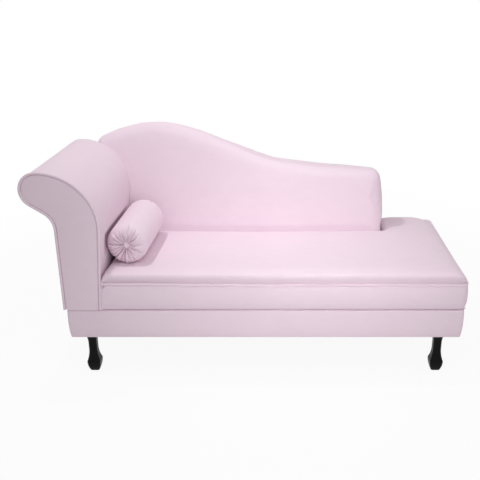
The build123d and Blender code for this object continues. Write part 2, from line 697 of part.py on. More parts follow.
def make_back():
    """Uprights, rib, stretchers, webbing, bolts, foam, board and covers of the back."""
    foot = BORDER_BOTTOM
    cover = back_body(0, BACK, foot) - back_body(FABRIC, BACK + DEPTH, RAIL_BOTTOM)
    export("back_cover", cover)
    export("back_outside_cover", along_y(wave_face(COVER_FILL, foot), BACK - FABRIC, BACK))
    board = along_y(wave_face(COVER_FILL, foot), BOARD_FRONT, BOARD_FRONT + BACK_BOARD)
    export("back_board", board)
    core = along_y(wave_face(FRAME_INSET - SLACK, RAIL_BOTTOM), FRONT, FAR) & behind_rake(FOAM_REAR, 0)
    export("back_foam", back_body(COVER_FILL, BOARD_FRONT, foot) - core)

    within = along_y(wave_face(FRAME_INSET, RAIL_BOTTOM), FRONT, BOARD_FRONT)
    hollow = along_y(wave_face(FRAME_INSET + RIB_WIDTH, RAIL_BOTTOM), FRONT, BOARD_FRONT)
    export("back_rib", (raked_slab(RIB_FRONT, UPRIGHT_FRONT, foot, HEIGHT) & within) - hollow)

    straps = []
    for number in range(BACK_STRAPS):
        z0 = SEAT_TOP + BACK_STRAP_FIRST + BACK_STRAP_STEP * number - STRAP_WIDTH / 2
        band = raked_slab(BACK_STRAP_FRONT, BACK_STRAP_FRONT + STRAP_THICK, z0, z0 + STRAP_WIDTH)
        straps.append(band & within)
    export("back_webbing", straps)

    rail_face = RAIL_BACK - RAIL_THICK
    side = polygon(
        (rake_y(BEARER_BOTTOM, UPRIGHT_FRONT), BEARER_BOTTOM),
        (rake_y(HEIGHT, UPRIGHT_FRONT), HEIGHT),
        (BOARD_FRONT, HEIGHT),
        (BOARD_FRONT, BORDER_BOTTOM),
        (RAIL_BACK, BORDER_BOTTOM),
        (RAIL_BACK, RAIL_TOP),
        (rail_face, RAIL_TOP),
        (rail_face, BEARER_BOTTOM),
    )
    half = UPRIGHT_THICK / 2
    holes = back_bolts(FIT)
    uprights = [(along_x(side, x - half, x + half) & within) - holes for x in upright_places()]
    export("back_uprights", uprights)
    export("back_bolts", back_bolts())

    places = upright_places()
    y0 = BOARD_FRONT - STRETCHER_THICK
    z1 = foot + STRETCHER_HEIGHT
    stretchers = []
    for low, high in zip(places, places[1:]):
        stretchers.append(block(low + half, high - half, y0, BOARD_FRONT, foot, z1))
    export("back_stretchers", stretchers)


# Arm


def arm_layer(outer, inner, bottom, y0, rear):
    """A layer that wraps the scroll, open at its foot, from y0 to a raked rear plane."""
    wrap = arm_face(outer, bottom) - arm_face(inner, RAIL_BOTTOM)
    return along_y(wrap, y0, BACK) & ahead_of_rake(rear, 0)


def make_arm():
    """Formers, slats, screws, board, foam, covers, facings and piping of the arm."""
    foot = BORDER_BOTTOM
    cover_front = FRONT + PIPING_DIAMETER + SLACK / 2
    export("arm_cover", arm_layer(0, FABRIC, foot, cover_front, ARM_REAR))
    export("arm_foam", arm_layer(COVER_FILL, BOARD_INSET - SLACK, foot, FORMER_FRONT, REAR_FORMER_REAR))
    export("arm_board", arm_layer(BOARD_INSET, FORMER_INSET, foot, FORMER_FRONT, REAR_FORMER_REAR))

    scroll = arm_face(FORMER_INSET, RAIL_TOP)
    export("arm_front_former", along_y(scroll, FORMER_FRONT, SLAT_FRONT))
    rear_former = raked_slab(REAR_FORMER_FRONT, REAR_FORMER_REAR, RAIL_TOP, HEIGHT)
    export("arm_rear_former", rear_former & along_y(scroll, FRONT, BACK))
    rear_facing = raked_slab(REAR_FORMER_REAR, ARM_REAR, foot, HEIGHT)
    export("arm_rear_facing", rear_facing & along_y(arm_face(COVER_FILL, foot), FRONT, BACK))

    ahead = ahead_of_rake(REAR_FORMER_FRONT, 0)
    holes = arm_screws(FIT)
    slats = []
    for x, z in slat_places():
        bar = Pos(x, z) * Rectangle(SLAT_THICK, SLAT_HEIGHT)
        slats.append((along_y(bar, SLAT_FRONT, BACK) & ahead) - holes)
    export("arm_slats", slats)
    export("arm_screws", arm_screws())

    facing = along_y(arm_face(PIPING_RADIUS + SLACK, foot), FACING_FRONT, FORMER_FRONT)
    rims = facing.faces().sort_by(Axis.Y)[0].edges().sort_by(Axis.Z)[1:]
    export("arm_front_facing", fillet(rims, FACING_EDGE))
    export("arm_piping", arm_piping_tube(PIPING_DIAMETER))


# Bolster


def bolster_place():
    """Where the bolster lies: on the seat, its front end against the arm."""
    radius = BOLSTER_DIAMETER / 2
    z = SEAT_TOP + BOLSTER_SEAT_GAP + radius
    yaw = radians(BOLSTER_YAW)
    half = BOLSTER_LENGTH / 2
    front_x = arm_inner_x(z) + (radius + BOLSTER_ARM_GAP) / cos(radians(ARM_LEAN))
    middle_x = front_x + half * sin(yaw)
    middle_y = FRONT + BOLSTER_SETBACK + half * cos(yaw)
    return Pos(middle_x, middle_y, z) * Rot(0, 0, -BOLSTER_YAW)


def pleat_ring(radius, depth, y):
    """A round of fabric at one place along the bolster, drawn in between its pleats."""
    turn = 2 * pi / PLEATS
    low = radius - depth
    arcs = []
    for number in range(PLEATS):
        start = number * turn
        middle = start + turn / 2
        end = start + turn
        peak = radius if depth else low
        arcs.append(
            ThreePointArc(
                (low * cos(start), y, low * sin(start)),
                (peak * cos(middle), y, peak * sin(middle)),
                (low * cos(end), y, low * sin(end)),
            )
        )
    return make_face(arcs)


def make_bolster():
    """Core, gathered cover, buttons and twine of the bolster."""
    place = bolster_place()
    radius = BOLSTER_DIAMETER / 2
    half = BOLSTER_LENGTH / 2
    button = BUTTON_DIAMETER / 2
    end_rings = [
        (button + PLEAT_DEPTH, PLEAT_DEPTH / 2, half - BOLSTER_DISH),
        (radius - BOLSTER_RIM, PLEAT_DEPTH, half),
        (radius - BOLSTER_RIM / 4, PLEAT_DEPTH, half - BOLSTER_RIM / 4),
        (radius, 0.0, half - BOLSTER_RIM),
    ]
    front = [pleat_ring(size, depth, -y) for size, depth, y in end_rings]
    back = [pleat_ring(size, depth, y) for size, depth, y in reversed(end_rings)]
    skin = loft(front + back, ruled=True)

    core_half = half - BOLSTER_END_PAD
    core = Rot(90, 0, 0) * Cylinder(radius - COVER_FILL, 2 * core_half)
    cavity = Rot(90, 0, 0) * Cylinder(radius - FABRIC, 2 * (core_half + SLACK))
    bore = rod_y(0, 0, -half, half, TWINE_DIAMETER + 2 * FIT)
    export("bolster_cover", place * (skin - cavity - bore))
    export("bolster_core", place * (core - bore))

    seat = half - BOLSTER_DISH + FIT
    dome_radius = (button**2 + BUTTON_HEIGHT**2) / (2 * BUTTON_HEIGHT)
    ball = Pos(0, BUTTON_HEIGHT - dome_radius, 0) * Sphere(dome_radius)
    dome = ball & block(-FAR, FAR, 0, FAR, -FAR, FAR)
    export("bolster_button_back", place * Pos(0, seat, 0) * dome)
    export("bolster_button_front", place * Rot(0, 0, 180) * Pos(0, seat, 0) * dome)
    export("bolster_twine", place * rod_y(0, 0, -seat, seat, TWINE_DIAMETER))


def main():
    """Write every piece."""
    os.makedirs("parts", exist_ok=True)
    make_legs()
    make_base()
    make_seat()
    make_back()
    make_arm()
    make_bolster()


if __name__ == "__main__":
    main()
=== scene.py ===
"""Looks of the recamier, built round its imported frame.

Metres. +X runs from the arm to the foot end, the front faces -Y, +Z is up.
"""
import json
import logging
import math
from collections.abc import Callable
from dataclasses import dataclass
from enum import Enum

import bmesh
import bpy
import numpy as np
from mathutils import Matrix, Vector


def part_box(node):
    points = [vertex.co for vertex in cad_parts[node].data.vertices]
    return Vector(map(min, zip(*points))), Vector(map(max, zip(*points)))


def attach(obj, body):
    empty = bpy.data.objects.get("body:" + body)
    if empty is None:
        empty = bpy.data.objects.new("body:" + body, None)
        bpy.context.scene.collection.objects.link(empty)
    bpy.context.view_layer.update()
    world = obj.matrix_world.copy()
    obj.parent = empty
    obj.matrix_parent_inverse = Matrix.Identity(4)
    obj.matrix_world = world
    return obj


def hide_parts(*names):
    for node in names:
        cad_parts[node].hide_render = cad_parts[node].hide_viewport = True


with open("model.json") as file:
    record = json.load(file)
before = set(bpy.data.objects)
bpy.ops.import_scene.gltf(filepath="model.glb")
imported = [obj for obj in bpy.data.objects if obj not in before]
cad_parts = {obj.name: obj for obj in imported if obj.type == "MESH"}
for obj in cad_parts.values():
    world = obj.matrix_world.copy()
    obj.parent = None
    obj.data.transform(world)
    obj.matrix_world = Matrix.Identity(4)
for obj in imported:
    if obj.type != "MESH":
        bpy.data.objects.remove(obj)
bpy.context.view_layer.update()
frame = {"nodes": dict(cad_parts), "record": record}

LOG = logging.getLogger("recamier")
FRAME_BODY = "frame"
BOLSTER_BODY = "bolster"
WHITE = (1.0, 1.0, 1.0, 1.0)
TINY = 1e-9
POINT_WELD = 1e-6
SEAM_WELD = 1e-5

NOISE_LOW = 0.3
NOISE_HIGH = 0.7
NAP_PATCHES = 0.6
NAP_STROKES = 4.0
NAP_STROKE_STRETCH = (0.5, 1.0, 0.8)
NAP_STROKE_HEIGHT = 0.35
NAP_FIBRES = 950.0
NAP_FIBRE_TONE = 0.4
WEAVE_UNEVEN = 60.0
WEAVE_TONE = 0.6
GRAIN_STREAKS = 60.0
GRAIN_WARP = 0.6
GRAIN_PORES = 420.0

CORD_SPACING = 0.004
CORD_SIDES = 12
CORD_STEPS = 400
CORD_TUCK = 0.001
CORNER_STEPS = 12
STITCH_SEED = 11
STITCH_SIDES = 6
STITCH_RINGS = 4

Span = tuple[float, float]
Rings = tuple[Span, ...]


class Slot(Enum):
    """Material slots of the record."""

    SUEDE = "suede"
    BLACK_WOOD = "black_wood"
    FRAME_WOOD = "frame_wood"
    HARDBOARD = "hardboard"
    STEEL = "steel"
    FOAM = "foam"
    WADDING = "wadding"
    WEBBING = "webbing"
    DARK_CLOTH = "dark_cloth"
    TWINE = "twine"


class SocketKind(Enum):
    """Kinds of named sockets on a node group."""

    COLOUR = "NodeSocketColor"
    VALUE = "NodeSocketFloat"
    VECTOR = "NodeSocketVector"
    SHAPE = "NodeSocketGeometry"
    MATERIAL = "NodeSocketMaterial"


# Node trees


class Graph:
    """Adds nodes to one tree and joins them."""

    def __init__(self, tree: bpy.types.NodeTree) -> None:
        """Start on a tree."""
        self.tree = tree

    def add(self, kind: str, inputs: dict | None = None, **settings: object) -> bpy.types.Node:
        """Add a node.

        Args:
            kind: Blender's name of the node.
            inputs: values or sockets by input name or number.
            settings: properties of the node itself.

        Returns:
            The new node.
        """
        node = self.tree.nodes.new(kind)
        for name, value in settings.items():
            setattr(node, name, value)
        for name, value in (inputs or {}).items():
            socket = node.inputs[name]
            if isinstance(value, bpy.types.NodeSocket):
                self.tree.links.new(value, socket)
            else:
                socket.default_value = value
        return node

    def math(self, operation: str, *values: object) -> bpy.types.NodeSocket:
        """Add a Math node and return its result."""
        node = self.add("ShaderNodeMath", dict(enumerate(values)), operation=operation)
        return node.outputs[0]

    def noise(
        self, place: bpy.types.NodeSocket, scale: object, detail: float, warp: float = 0.0
    ) -> bpy.types.NodeSocket:
        """Add a Noise node.

        Args:
            place: where it is looked up.
            scale: a value or socket, larger for finer noise.
            detail: how many finer layers it has.
            warp: how much it is distorted.

        Returns:
            The noise, mostly between NOISE_LOW and NOISE_HIGH.
        """
        inputs = {"Vector": place, "Scale": scale, "Detail": detail, "Distortion": warp}
        return self.add("ShaderNodeTexNoise", inputs).outputs[0]

    def spread(self, value: bpy.types.NodeSocket, low: float, high: float) -> bpy.types.NodeSocket:
        """Spread the middle of a noise over a range.

        Args:
            value: the noise.
            low: result at the low end.
            high: result at the high end.

        Returns:
            The spread value.
        """
        inputs = {
            "Value": value, "From Min": NOISE_LOW, "From Max": NOISE_HIGH, "To Min": low, "To Max": high,
        }
        return self.add("ShaderNodeMapRange", inputs).outputs[0]


def node_group(name: str, kind: str, inputs: dict, outputs: dict) -> tuple[Graph, dict, dict]:
    """Start a node group with named sockets.

    Args:
        name: name of the group.
        kind: ShaderNodeTree or GeometryNodeTree.
        inputs: socket kinds by name.
        outputs: socket kinds by name.

    Returns:
        The graph, the inputs' sockets and the outputs' sockets, by name.
    """
    tree = bpy.data.node_groups.new(name, kind)
    for label, socket in inputs.items():
        tree.interface.new_socket(label, in_out="INPUT", socket_type=socket.value)
    for label, socket in outputs.items():
        tree.interface.new_socket(label, in_out="OUTPUT", socket_type=socket.value)
    graph = Graph(tree)
    entry = graph.add("NodeGroupInput")
    leave = graph.add("NodeGroupOutput")
    return graph, {n: entry.outputs[n] for n in inputs}, {n: leave.inputs[n] for n in outputs}


def nap_group() -> bpy.types.NodeTree:
    """Brushed pile: soft patches where it lies another way, strokes, and fine fibres."""
    graph, given, wanted = node_group(
        "Nap",
        "ShaderNodeTree",
        {"Colour": SocketKind.COLOUR, "Contrast": SocketKind.VALUE, "Size": SocketKind.VALUE},
        {"Colour": SocketKind.COLOUR, "Height": SocketKind.VALUE},
    )
    place = graph.add("ShaderNodeTexCoord").outputs["Object"]
    patches = graph.noise(place, graph.math("DIVIDE", NAP_PATCHES, given["Size"]), 3.0)
    stroked = graph.add("ShaderNodeMapping", {"Vector": place, "Scale": NAP_STROKE_STRETCH})
    strokes = graph.noise(stroked.outputs[0], graph.math("DIVIDE", NAP_STROKES, given["Size"]), 4.0)
    fibres = graph.noise(place, NAP_FIBRES, 2.0)
    both = graph.math("MULTIPLY_ADD", strokes, 0.5, graph.math("MULTIPLY", patches, 0.5))
    centred = graph.spread(both, -1.0, 1.0)
    fibre_tone = graph.spread(fibres, -NAP_FIBRE_TONE, NAP_FIBRE_TONE)
    tone = graph.math("MULTIPLY_ADD", graph.math("ADD", centred, fibre_tone), given["Contrast"], 1.0)
    shaded = graph.add("ShaderNodeHueSaturation", {"Color": given["Colour"], "Value": tone})
    graph.tree.links.new(shaded.outputs[0], wanted["Colour"])
    height = graph.math("MULTIPLY_ADD", strokes, NAP_STROKE_HEIGHT, fibres)
    graph.tree.links.new(height, wanted["Height"])
    return graph.tree


def weave_group() -> bpy.types.NodeTree:
    """Crossing threads along X and Y: a tone and a height."""
    graph, given, wanted = node_group(
        "Weave",
        "ShaderNodeTree",
        {"Colour": SocketKind.COLOUR, "Threads": SocketKind.VALUE, "Contrast": SocketKind.VALUE},
        {"Colour": SocketKind.COLOUR, "Height": SocketKind.VALUE},
    )
    place = graph.add("ShaderNodeTexCoord").outputs["Object"]
    apart = graph.add("ShaderNodeSeparateXYZ", {0: place})
    turns = graph.math("MULTIPLY", given["Threads"], math.tau)
    across = graph.math("SINE", graph.math("MULTIPLY", apart.outputs[0], turns))
    along = graph.math("SINE", graph.math("MULTIPLY", apart.outputs[1], turns))
    crossing = graph.math("MULTIPLY", across, along)
    uneven = graph.spread(graph.noise(place, WEAVE_UNEVEN, 4.0), -WEAVE_TONE, WEAVE_TONE)
    tone = graph.math("MULTIPLY_ADD", crossing, WEAVE_TONE, uneven)
    value = graph.math("MULTIPLY_ADD", tone, given["Contrast"], 1.0)
    shaded = graph.add("ShaderNodeHueSaturation", {"Color": given["Colour"], "Value": value})
    graph.tree.links.new(shaded.outputs[0], wanted["Colour"])
    graph.tree.links.new(crossing, wanted["Height"])
    return graph.tree


def grain_group() -> bpy.types.NodeTree:
    """Long streaks and pores, for wood and board."""
    graph, given, wanted = node_group(
        "Grain",
        "ShaderNodeTree",
        {"Colour": SocketKind.COLOUR, "Contrast": SocketKind.VALUE, "Stretch": SocketKind.VECTOR},
        {"Colour": SocketKind.COLOUR, "Height": SocketKind.VALUE},
    )
    place = graph.add("ShaderNodeTexCoord").outputs["Object"]
    drawn = graph.add("ShaderNodeVectorMath", {0: place, 1: given["Stretch"]}, operation="MULTIPLY")
    streaks = graph.noise(drawn.outputs[0], GRAIN_STREAKS, 5.0, GRAIN_WARP)
    pores = graph.noise(drawn.outputs[0], GRAIN_PORES, 2.0)
    tone = graph.math("MULTIPLY_ADD", graph.spread(streaks, -1.0, 1.0), given["Contrast"], 1.0)
    shaded = graph.add("ShaderNodeHueSaturation", {"Color": given["Colour"], "Value": tone})
    graph.tree.links.new(shaded.outputs[0], wanted["Colour"])
    graph.tree.links.new(pores, wanted["Height"])
    return graph.tree


def linear(red: int, green: int, blue: int) -> tuple[float, float, float, float]:
    """A screen colour of 0 to 255 as the linear colour that a shader takes."""
    parts = [value / 255 for value in (red, green, blue)]
    return tuple([p / 12.92 if p <= 0.04045 else ((p + 0.055) / 1.055) ** 2.4 for p in parts] + [1.0])


@dataclass(frozen=True)
class Finish:
    """One material: a colour through one of the surface groups, with its gloss and bump."""

    name: str
    colour: tuple[float, float, float, float]
    group: str
    details: tuple[tuple[str, object], ...]
    roughness: float = 0.8
    metallic: float = 0.0
    specular: float = 0.5
    sheen: float = 0.0
    sheen_roughness: float = 0.4
    coat: float = 0.0
    coat_roughness: float = 0.1
    bump: float = 0.3
    relief: float = 0.0005

    def material(self) -> bpy.types.Material:
        """Build the material once, and give it back after that."""
        found = bpy.data.materials.get(self.name)
        if found:
            return found
        made = bpy.data.materials.new(self.name)
        made.use_nodes = True
        made.diffuse_color = self.colour
        graph = Graph(made.node_tree)
        surface = graph.tree.nodes["Principled BSDF"]
        pattern = graph.add("ShaderNodeGroup", node_tree=bpy.data.node_groups[self.group])
        pattern.inputs["Colour"].default_value = self.colour
        for label, value in self.details:
            pattern.inputs[label].default_value = value
        graph.tree.links.new(pattern.outputs["Colour"], surface.inputs["Base Color"])
        inputs = {"Height": pattern.outputs["Height"], "Strength": self.bump, "Distance": self.relief}
        bump = graph.add("ShaderNodeBump", inputs)
        graph.tree.links.new(bump.outputs[0], surface.inputs["Normal"])
        surface.inputs["Roughness"].default_value = self.roughness
        surface.inputs["Metallic"].default_value = self.metallic
        surface.inputs["Specular IOR Level"].default_value = self.specular
        surface.inputs["Sheen Weight"].default_value = self.sheen
        surface.inputs["Sheen Roughness"].default_value = self.sheen_roughness
        surface.inputs["Coat Weight"].default_value = self.coat
        surface.inputs["Coat Roughness"].default_value = self.coat_roughness
        return made


SUEDE = Finish(
    "pale_pink_suede", linear(237, 217, 229), "Nap", (("Contrast", 0.020), ("Size", 0.09)),
    roughness=0.9, specular=0.2, sheen=0.12, sheen_roughness=0.45, bump=0.25, relief=0.0004,
)
LACQUER = Finish(
    "black_lacquered_wood", linear(6, 6, 7), "Grain",
    (("Contrast", 0.25), ("Stretch", (1.0, 1.0, 0.08))),
    roughness=0.34, specular=0.09, coat=0.03, coat_roughness=0.2, bump=0.08, relief=0.0003,
)
FINISHES = {
    Slot.SUEDE: SUEDE,
    Slot.BLACK_WOOD: LACQUER,
    Slot.FRAME_WOOD: Finish(
        "pale_frame_wood", linear(205, 170, 122), "Grain",
        (("Contrast", 0.16), ("Stretch", (0.06, 1.0, 1.0))), roughness=0.65,
    ),
    Slot.HARDBOARD: Finish(
        "brown_hardboard", linear(122, 86, 58), "Grain",
        (("Contrast", 0.1), ("Stretch", (1.0, 1.0, 1.0))), roughness=0.7,
    ),
    Slot.STEEL: Finish(
        "zinc_plated_steel", linear(190, 192, 196), "Grain",
        (("Contrast", 0.06), ("Stretch", (1.0, 1.0, 0.3))), roughness=0.35, metallic=1.0, bump=0.05,
    ),
    Slot.FOAM: Finish(
        "cream_foam", linear(236, 222, 176), "Nap", (("Contrast", 0.05), ("Size", 0.02)),
        roughness=0.95, bump=0.5, relief=0.001,
    ),
    Slot.WADDING: Finish(
        "white_wadding", linear(236, 236, 232), "Nap", (("Contrast", 0.04), ("Size", 0.03)),
        roughness=0.95, bump=0.6, relief=0.0015,
    ),
    Slot.WEBBING: Finish(
        "tan_webbing", linear(150, 118, 78), "Weave", (("Threads", 420.0), ("Contrast", 0.2)),
        roughness=0.85, bump=0.5,
    ),
    Slot.DARK_CLOTH: Finish(
        "black_lining_cloth", linear(34, 34, 36), "Weave", (("Threads", 600.0), ("Contrast", 0.25)),
        roughness=0.9, bump=0.4, relief=0.0003,
    ),
    Slot.TWINE: Finish(
        "waxed_twine", linear(214, 204, 186), "Weave", (("Threads", 900.0), ("Contrast", 0.2)),
        roughness=0.7, bump=0.4,
    ),
}


# Meshes


class Form:
    """Points and faces of one piece while it is put together."""

    def __init__(self) -> None:
        """Start empty."""
        self.points: list[np.ndarray] = []
        self.faces: list[tuple[int, ...]] = []
        self.count = 0

    def place(self, points: np.ndarray) -> np.ndarray:
        """Add points and return their numbers in the same layout."""
        flat = np.asarray(points, float).reshape(-1, 3)
        numbers = np.arange(self.count, self.count + len(flat))
        self.points.append(flat)
        self.count += len(flat)
        return numbers.reshape(np.shape(points)[:-1])

    def net(self, numbers: np.ndarray, closed: bool = False) -> None:
        """Span quads over a table of point numbers.

        Args:
            numbers: rows and columns of point numbers.
            closed: whether the last column joins the first one.
        """
        table = np.hstack([numbers, numbers[:, :1]]) if closed else numbers
        corners = (table[:-1, :-1], table[:-1, 1:], table[1:, 1:], table[1:, :-1])
        self.faces += [tuple(int(n) for n in quad) for quad in zip(*[c.ravel() for c in corners])]

    def piece(self, name: str, weld: float = POINT_WELD) -> bpy.types.Object:
        """Weld the points, turn the faces outwards and make an object.

        Args:
            name: name of the object.
            weld: points this close become one.

        Returns:
            The object, in the scene.
        """
        mesh = bpy.data.meshes.new(name)
        mesh.from_pydata(np.vstack(self.points).tolist(), [], self.faces)
        work = bmesh.new()
        work.from_mesh(mesh)
        bmesh.ops.remove_doubles(work, verts=work.verts, dist=weld)
        bmesh.ops.recalc_face_normals(work, faces=work.faces)
        work.to_mesh(mesh)
        work.free()
        made = bpy.data.objects.new(name, mesh)
        bpy.context.scene.collection.objects.link(made)
        shade_smooth(made)
        return made


def shade_smooth(piece: bpy.types.Object) -> None:
    """Shade all faces smooth."""
    piece.data.polygons.foreach_set("use_smooth", [True] * len(piece.data.polygons))
    piece.data.update()


def points_of(piece: bpy.types.Object) -> np.ndarray:
    """A piece's points as rows of three."""
    flat = np.zeros(len(piece.data.vertices) * 3, np.float32)
    piece.data.vertices.foreach_get("co", flat)
    return flat.reshape(-1, 3).astype(float)


def move_points(piece: bpy.types.Object, points: np.ndarray) -> None:
    """Put a piece's points at new places."""
    piece.data.vertices.foreach_set("co", points.astype(np.float32).ravel())
    piece.data.update()


def flatten(piece: bpy.types.Object) -> None:
    """Turn what a piece's modifiers make into its plain mesh, and take the modifiers off."""
    settled = bpy.context.evaluated_depsgraph_get()
    mesh = bpy.data.meshes.new_from_object(piece.evaluated_get(settled), depsgraph=settled)
    old = piece.data
    piece.modifiers.clear()
    piece.data = mesh
    bpy.data.meshes.remove(old)
    mesh.name = piece.name


def subdivide(piece: bpy.types.Object) -> None:
    """Smooth and divide a piece once."""
    rounding = piece.modifiers.new("rounding", "SUBSURF")
    rounding.levels = 1
    rounding.render_levels = 1
    flatten(piece)
    shade_smooth(piece)


@dataclass(frozen=True)
class Stuffing:
    """How hard a filled form is blown up, and how far its cover may move."""

    pressure: float = 4.0
    frames: int = 20
    cap: float = 0.005
    stiffness: float = 20.0
    bending: float = 4.0
    quality: int = 5
    mass: float = 0.3

    def swell(self, piece: bpy.types.Object, held: np.ndarray) -> None:
        """Blow the cover up as cloth, and keep the result.

        Args:
            piece: the closed form.
            held: how firmly each point is held, 0 to 1.
        """
        before = points_of(piece)
        group = piece.vertex_groups.new(name="held")
        for number in np.nonzero(held > 0)[0]:
            group.add([int(number)], float(held[number]), "REPLACE")
        cloth = piece.modifiers.new("stuffing", "CLOTH")
        cloth.settings.quality = self.quality
        cloth.settings.mass = self.mass
        cloth.settings.tension_stiffness = self.stiffness
        cloth.settings.compression_stiffness = self.stiffness
        cloth.settings.shear_stiffness = self.stiffness
        cloth.settings.bending_stiffness = self.bending
        cloth.settings.use_pressure = True
        cloth.settings.uniform_pressure_force = self.pressure
        cloth.settings.effector_weights.gravity = 0.0
        cloth.settings.vertex_group_mass = group.name
        cloth.collision_settings.use_collision = False
        cloth.collision_settings.use_self_collision = False
        for number in range(1, self.frames + 1):
            bpy.context.scene.frame_set(number)
        settled = bpy.context.evaluated_depsgraph_get()
        after = points_of(piece.evaluated_get(settled))
        piece.modifiers.remove(cloth)
        piece.vertex_groups.remove(group)
        bpy.context.scene.frame_set(1)
        step = after - before
        length = np.linalg.norm(step, axis=1, keepdims=True)
        eased = self.cap * np.tanh(length / self.cap) / np.maximum(length, TINY)
        move_points(piece, before + step * eased)
        LOG.info("%s swells %.1f mm at most, %.1f before the cap", piece.name,
                 1000 * float((length * eased).max()), 1000 * float(length.max()))


def ease(share: np.ndarray) -> np.ndarray:
    """A smooth step from 0 to 1."""
    held = np.clip(share, 0.0, 1.0)
    return held * held * (3 - 2 * held)


def finish_piece(piece: bpy.types.Object, finish: Finish, body: str) -> bpy.types.Object:
    """Dress a piece and let it ride on a body.

    Args:
        piece: the piece, in place.
        finish: its material.
        body: the body that it rides on.

    Returns:
        The piece.
    """
    piece.data.materials.clear()
    piece.data.materials.append(finish.material())
    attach(piece, body)
    LOG.info("%s has %d faces", piece.name, len(piece.data.polygons))
    return piece


def follow_cover(node: str, ending: str, slot: Slot, follow: Callable[[np.ndarray], np.ndarray]) -> None:
    """Stand a moved copy in for a piece of the frame, so that it stays under its cover.

    Args:
        node: the piece of the frame.
        ending: last word of the copy's name.
        slot: material slot.
        follow: gives the new places of its points.
    """
    source = frame["nodes"][node]
    mesh = source.data.copy()
    mesh.transform(source.matrix_world)
    shell = bmesh.new()
    shell.from_mesh(mesh)
    bmesh.ops.remove_doubles(shell, verts=shell.verts, dist=POINT_WELD)
    shell.to_mesh(mesh)
    shell.free()
    piece = bpy.data.objects.new(f"{node}_{ending}", mesh)
    bpy.context.scene.collection.objects.link(piece)
    move_points(piece, follow(points_of(piece)))
    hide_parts(node)
    finish_piece(piece, FINISHES[slot], FRAME_BODY)


# Outlines


def evenly(points: np.ndarray, count: int) -> np.ndarray:
    """Share points out evenly along a line.

    Args:
        points: the line, one point a row.
        count: how many steps to divide it into.

    Returns:
        The new points, one more than the steps.
    """
    run = np.concatenate([[0.0], np.cumsum(np.linalg.norm(np.diff(points, axis=0), axis=1))])
    stops = np.linspace(0.0, run[-1], count + 1)
    return np.stack([np.interp(stops, run, points[:, k]) for k in range(points.shape[1])], axis=1)


def relax(points: np.ndarray, rounds: int) -> np.ndarray:
    """Smooth a line a little, with its ends kept."""
    eased = points.copy()
    for _ in range(rounds):
        eased[1:-1] = (eased[:-2] + 2 * eased[1:-1] + eased[2:]) / 4
    return eased


def cut_line(node: str, depth: float) -> np.ndarray:
    """Cut a CAD node across in the XZ plane.

    Args:
        node: name of the node.
        depth: the Y at which it is cut.

    Returns:
        X and Z of the cut's corners, from the right foot over the top to the left one.
    """
    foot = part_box(node)[0].z
    work = bmesh.new()
    work.from_mesh(frame["nodes"][node].data)
    bmesh.ops.remove_doubles(work, verts=work.verts, dist=POINT_WELD)
    parts = work.verts[:] + work.edges[:] + work.faces[:]
    cut = bmesh.ops.bisect_plane(work, geom=parts, plane_co=(0, depth, 0), plane_no=(0, 1, 0))["geom_cut"]
    near: dict[int, list[int]] = {}
    place: dict[int, tuple[float, float]] = {}
    work.verts.index_update()
    for edge in cut:
        if not isinstance(edge, bmesh.types.BMEdge):
            continue
        if max(vert.co.z for vert in edge.verts) < foot + SEAM_WELD:
            continue
        ends = [vert.index for vert in edge.verts]
        for vert in edge.verts:
            place[vert.index] = (vert.co.x, vert.co.z)
        near.setdefault(ends[0], []).append(ends[1])
        near.setdefault(ends[1], []).append(ends[0])
    work.free()
    feet = [number for number, others in near.items() if len(others) == 1]
    chain = [max(feet, key=lambda number: place[number][0])]
    while True:
        onward = [number for number in near[chain[-1]] if number not in chain[-2:]]
        if not onward:
            break
        chain.append(onward[0])
    return np.array([place[number] for number in chain])


def outline_of(node: str, depth: float, grow: float, step: float = 0.002, rounds: int = 6) -> np.ndarray:
    """The outline of a CAD node in the XZ plane, from foot to foot over the top.

    Args:
        node: name of the node.
        depth: the Y at which it is cut.
        grow: how far the outline is moved outwards.
        step: spacing of the points.
        rounds: how many times it is smoothed.

    Returns:
        X and Z, one point a row, counter-clockwise seen from the front.
    """
    line = cut_line(node, depth)
    length = np.linalg.norm(np.diff(line, axis=0), axis=1).sum()
    line = relax(evenly(line, round(length / step)), rounds)
    line = line + outward(line) * grow
    line[0, 1] = line[-1, 1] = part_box(node)[0].z
    return line


def outward(line: np.ndarray) -> np.ndarray:
    """Outward directions along a counter-clockwise line."""
    along = np.gradient(line, axis=0)
    along /= np.linalg.norm(along, axis=1, keepdims=True)
    return np.stack([along[:, 1], -along[:, 0]], axis=1)


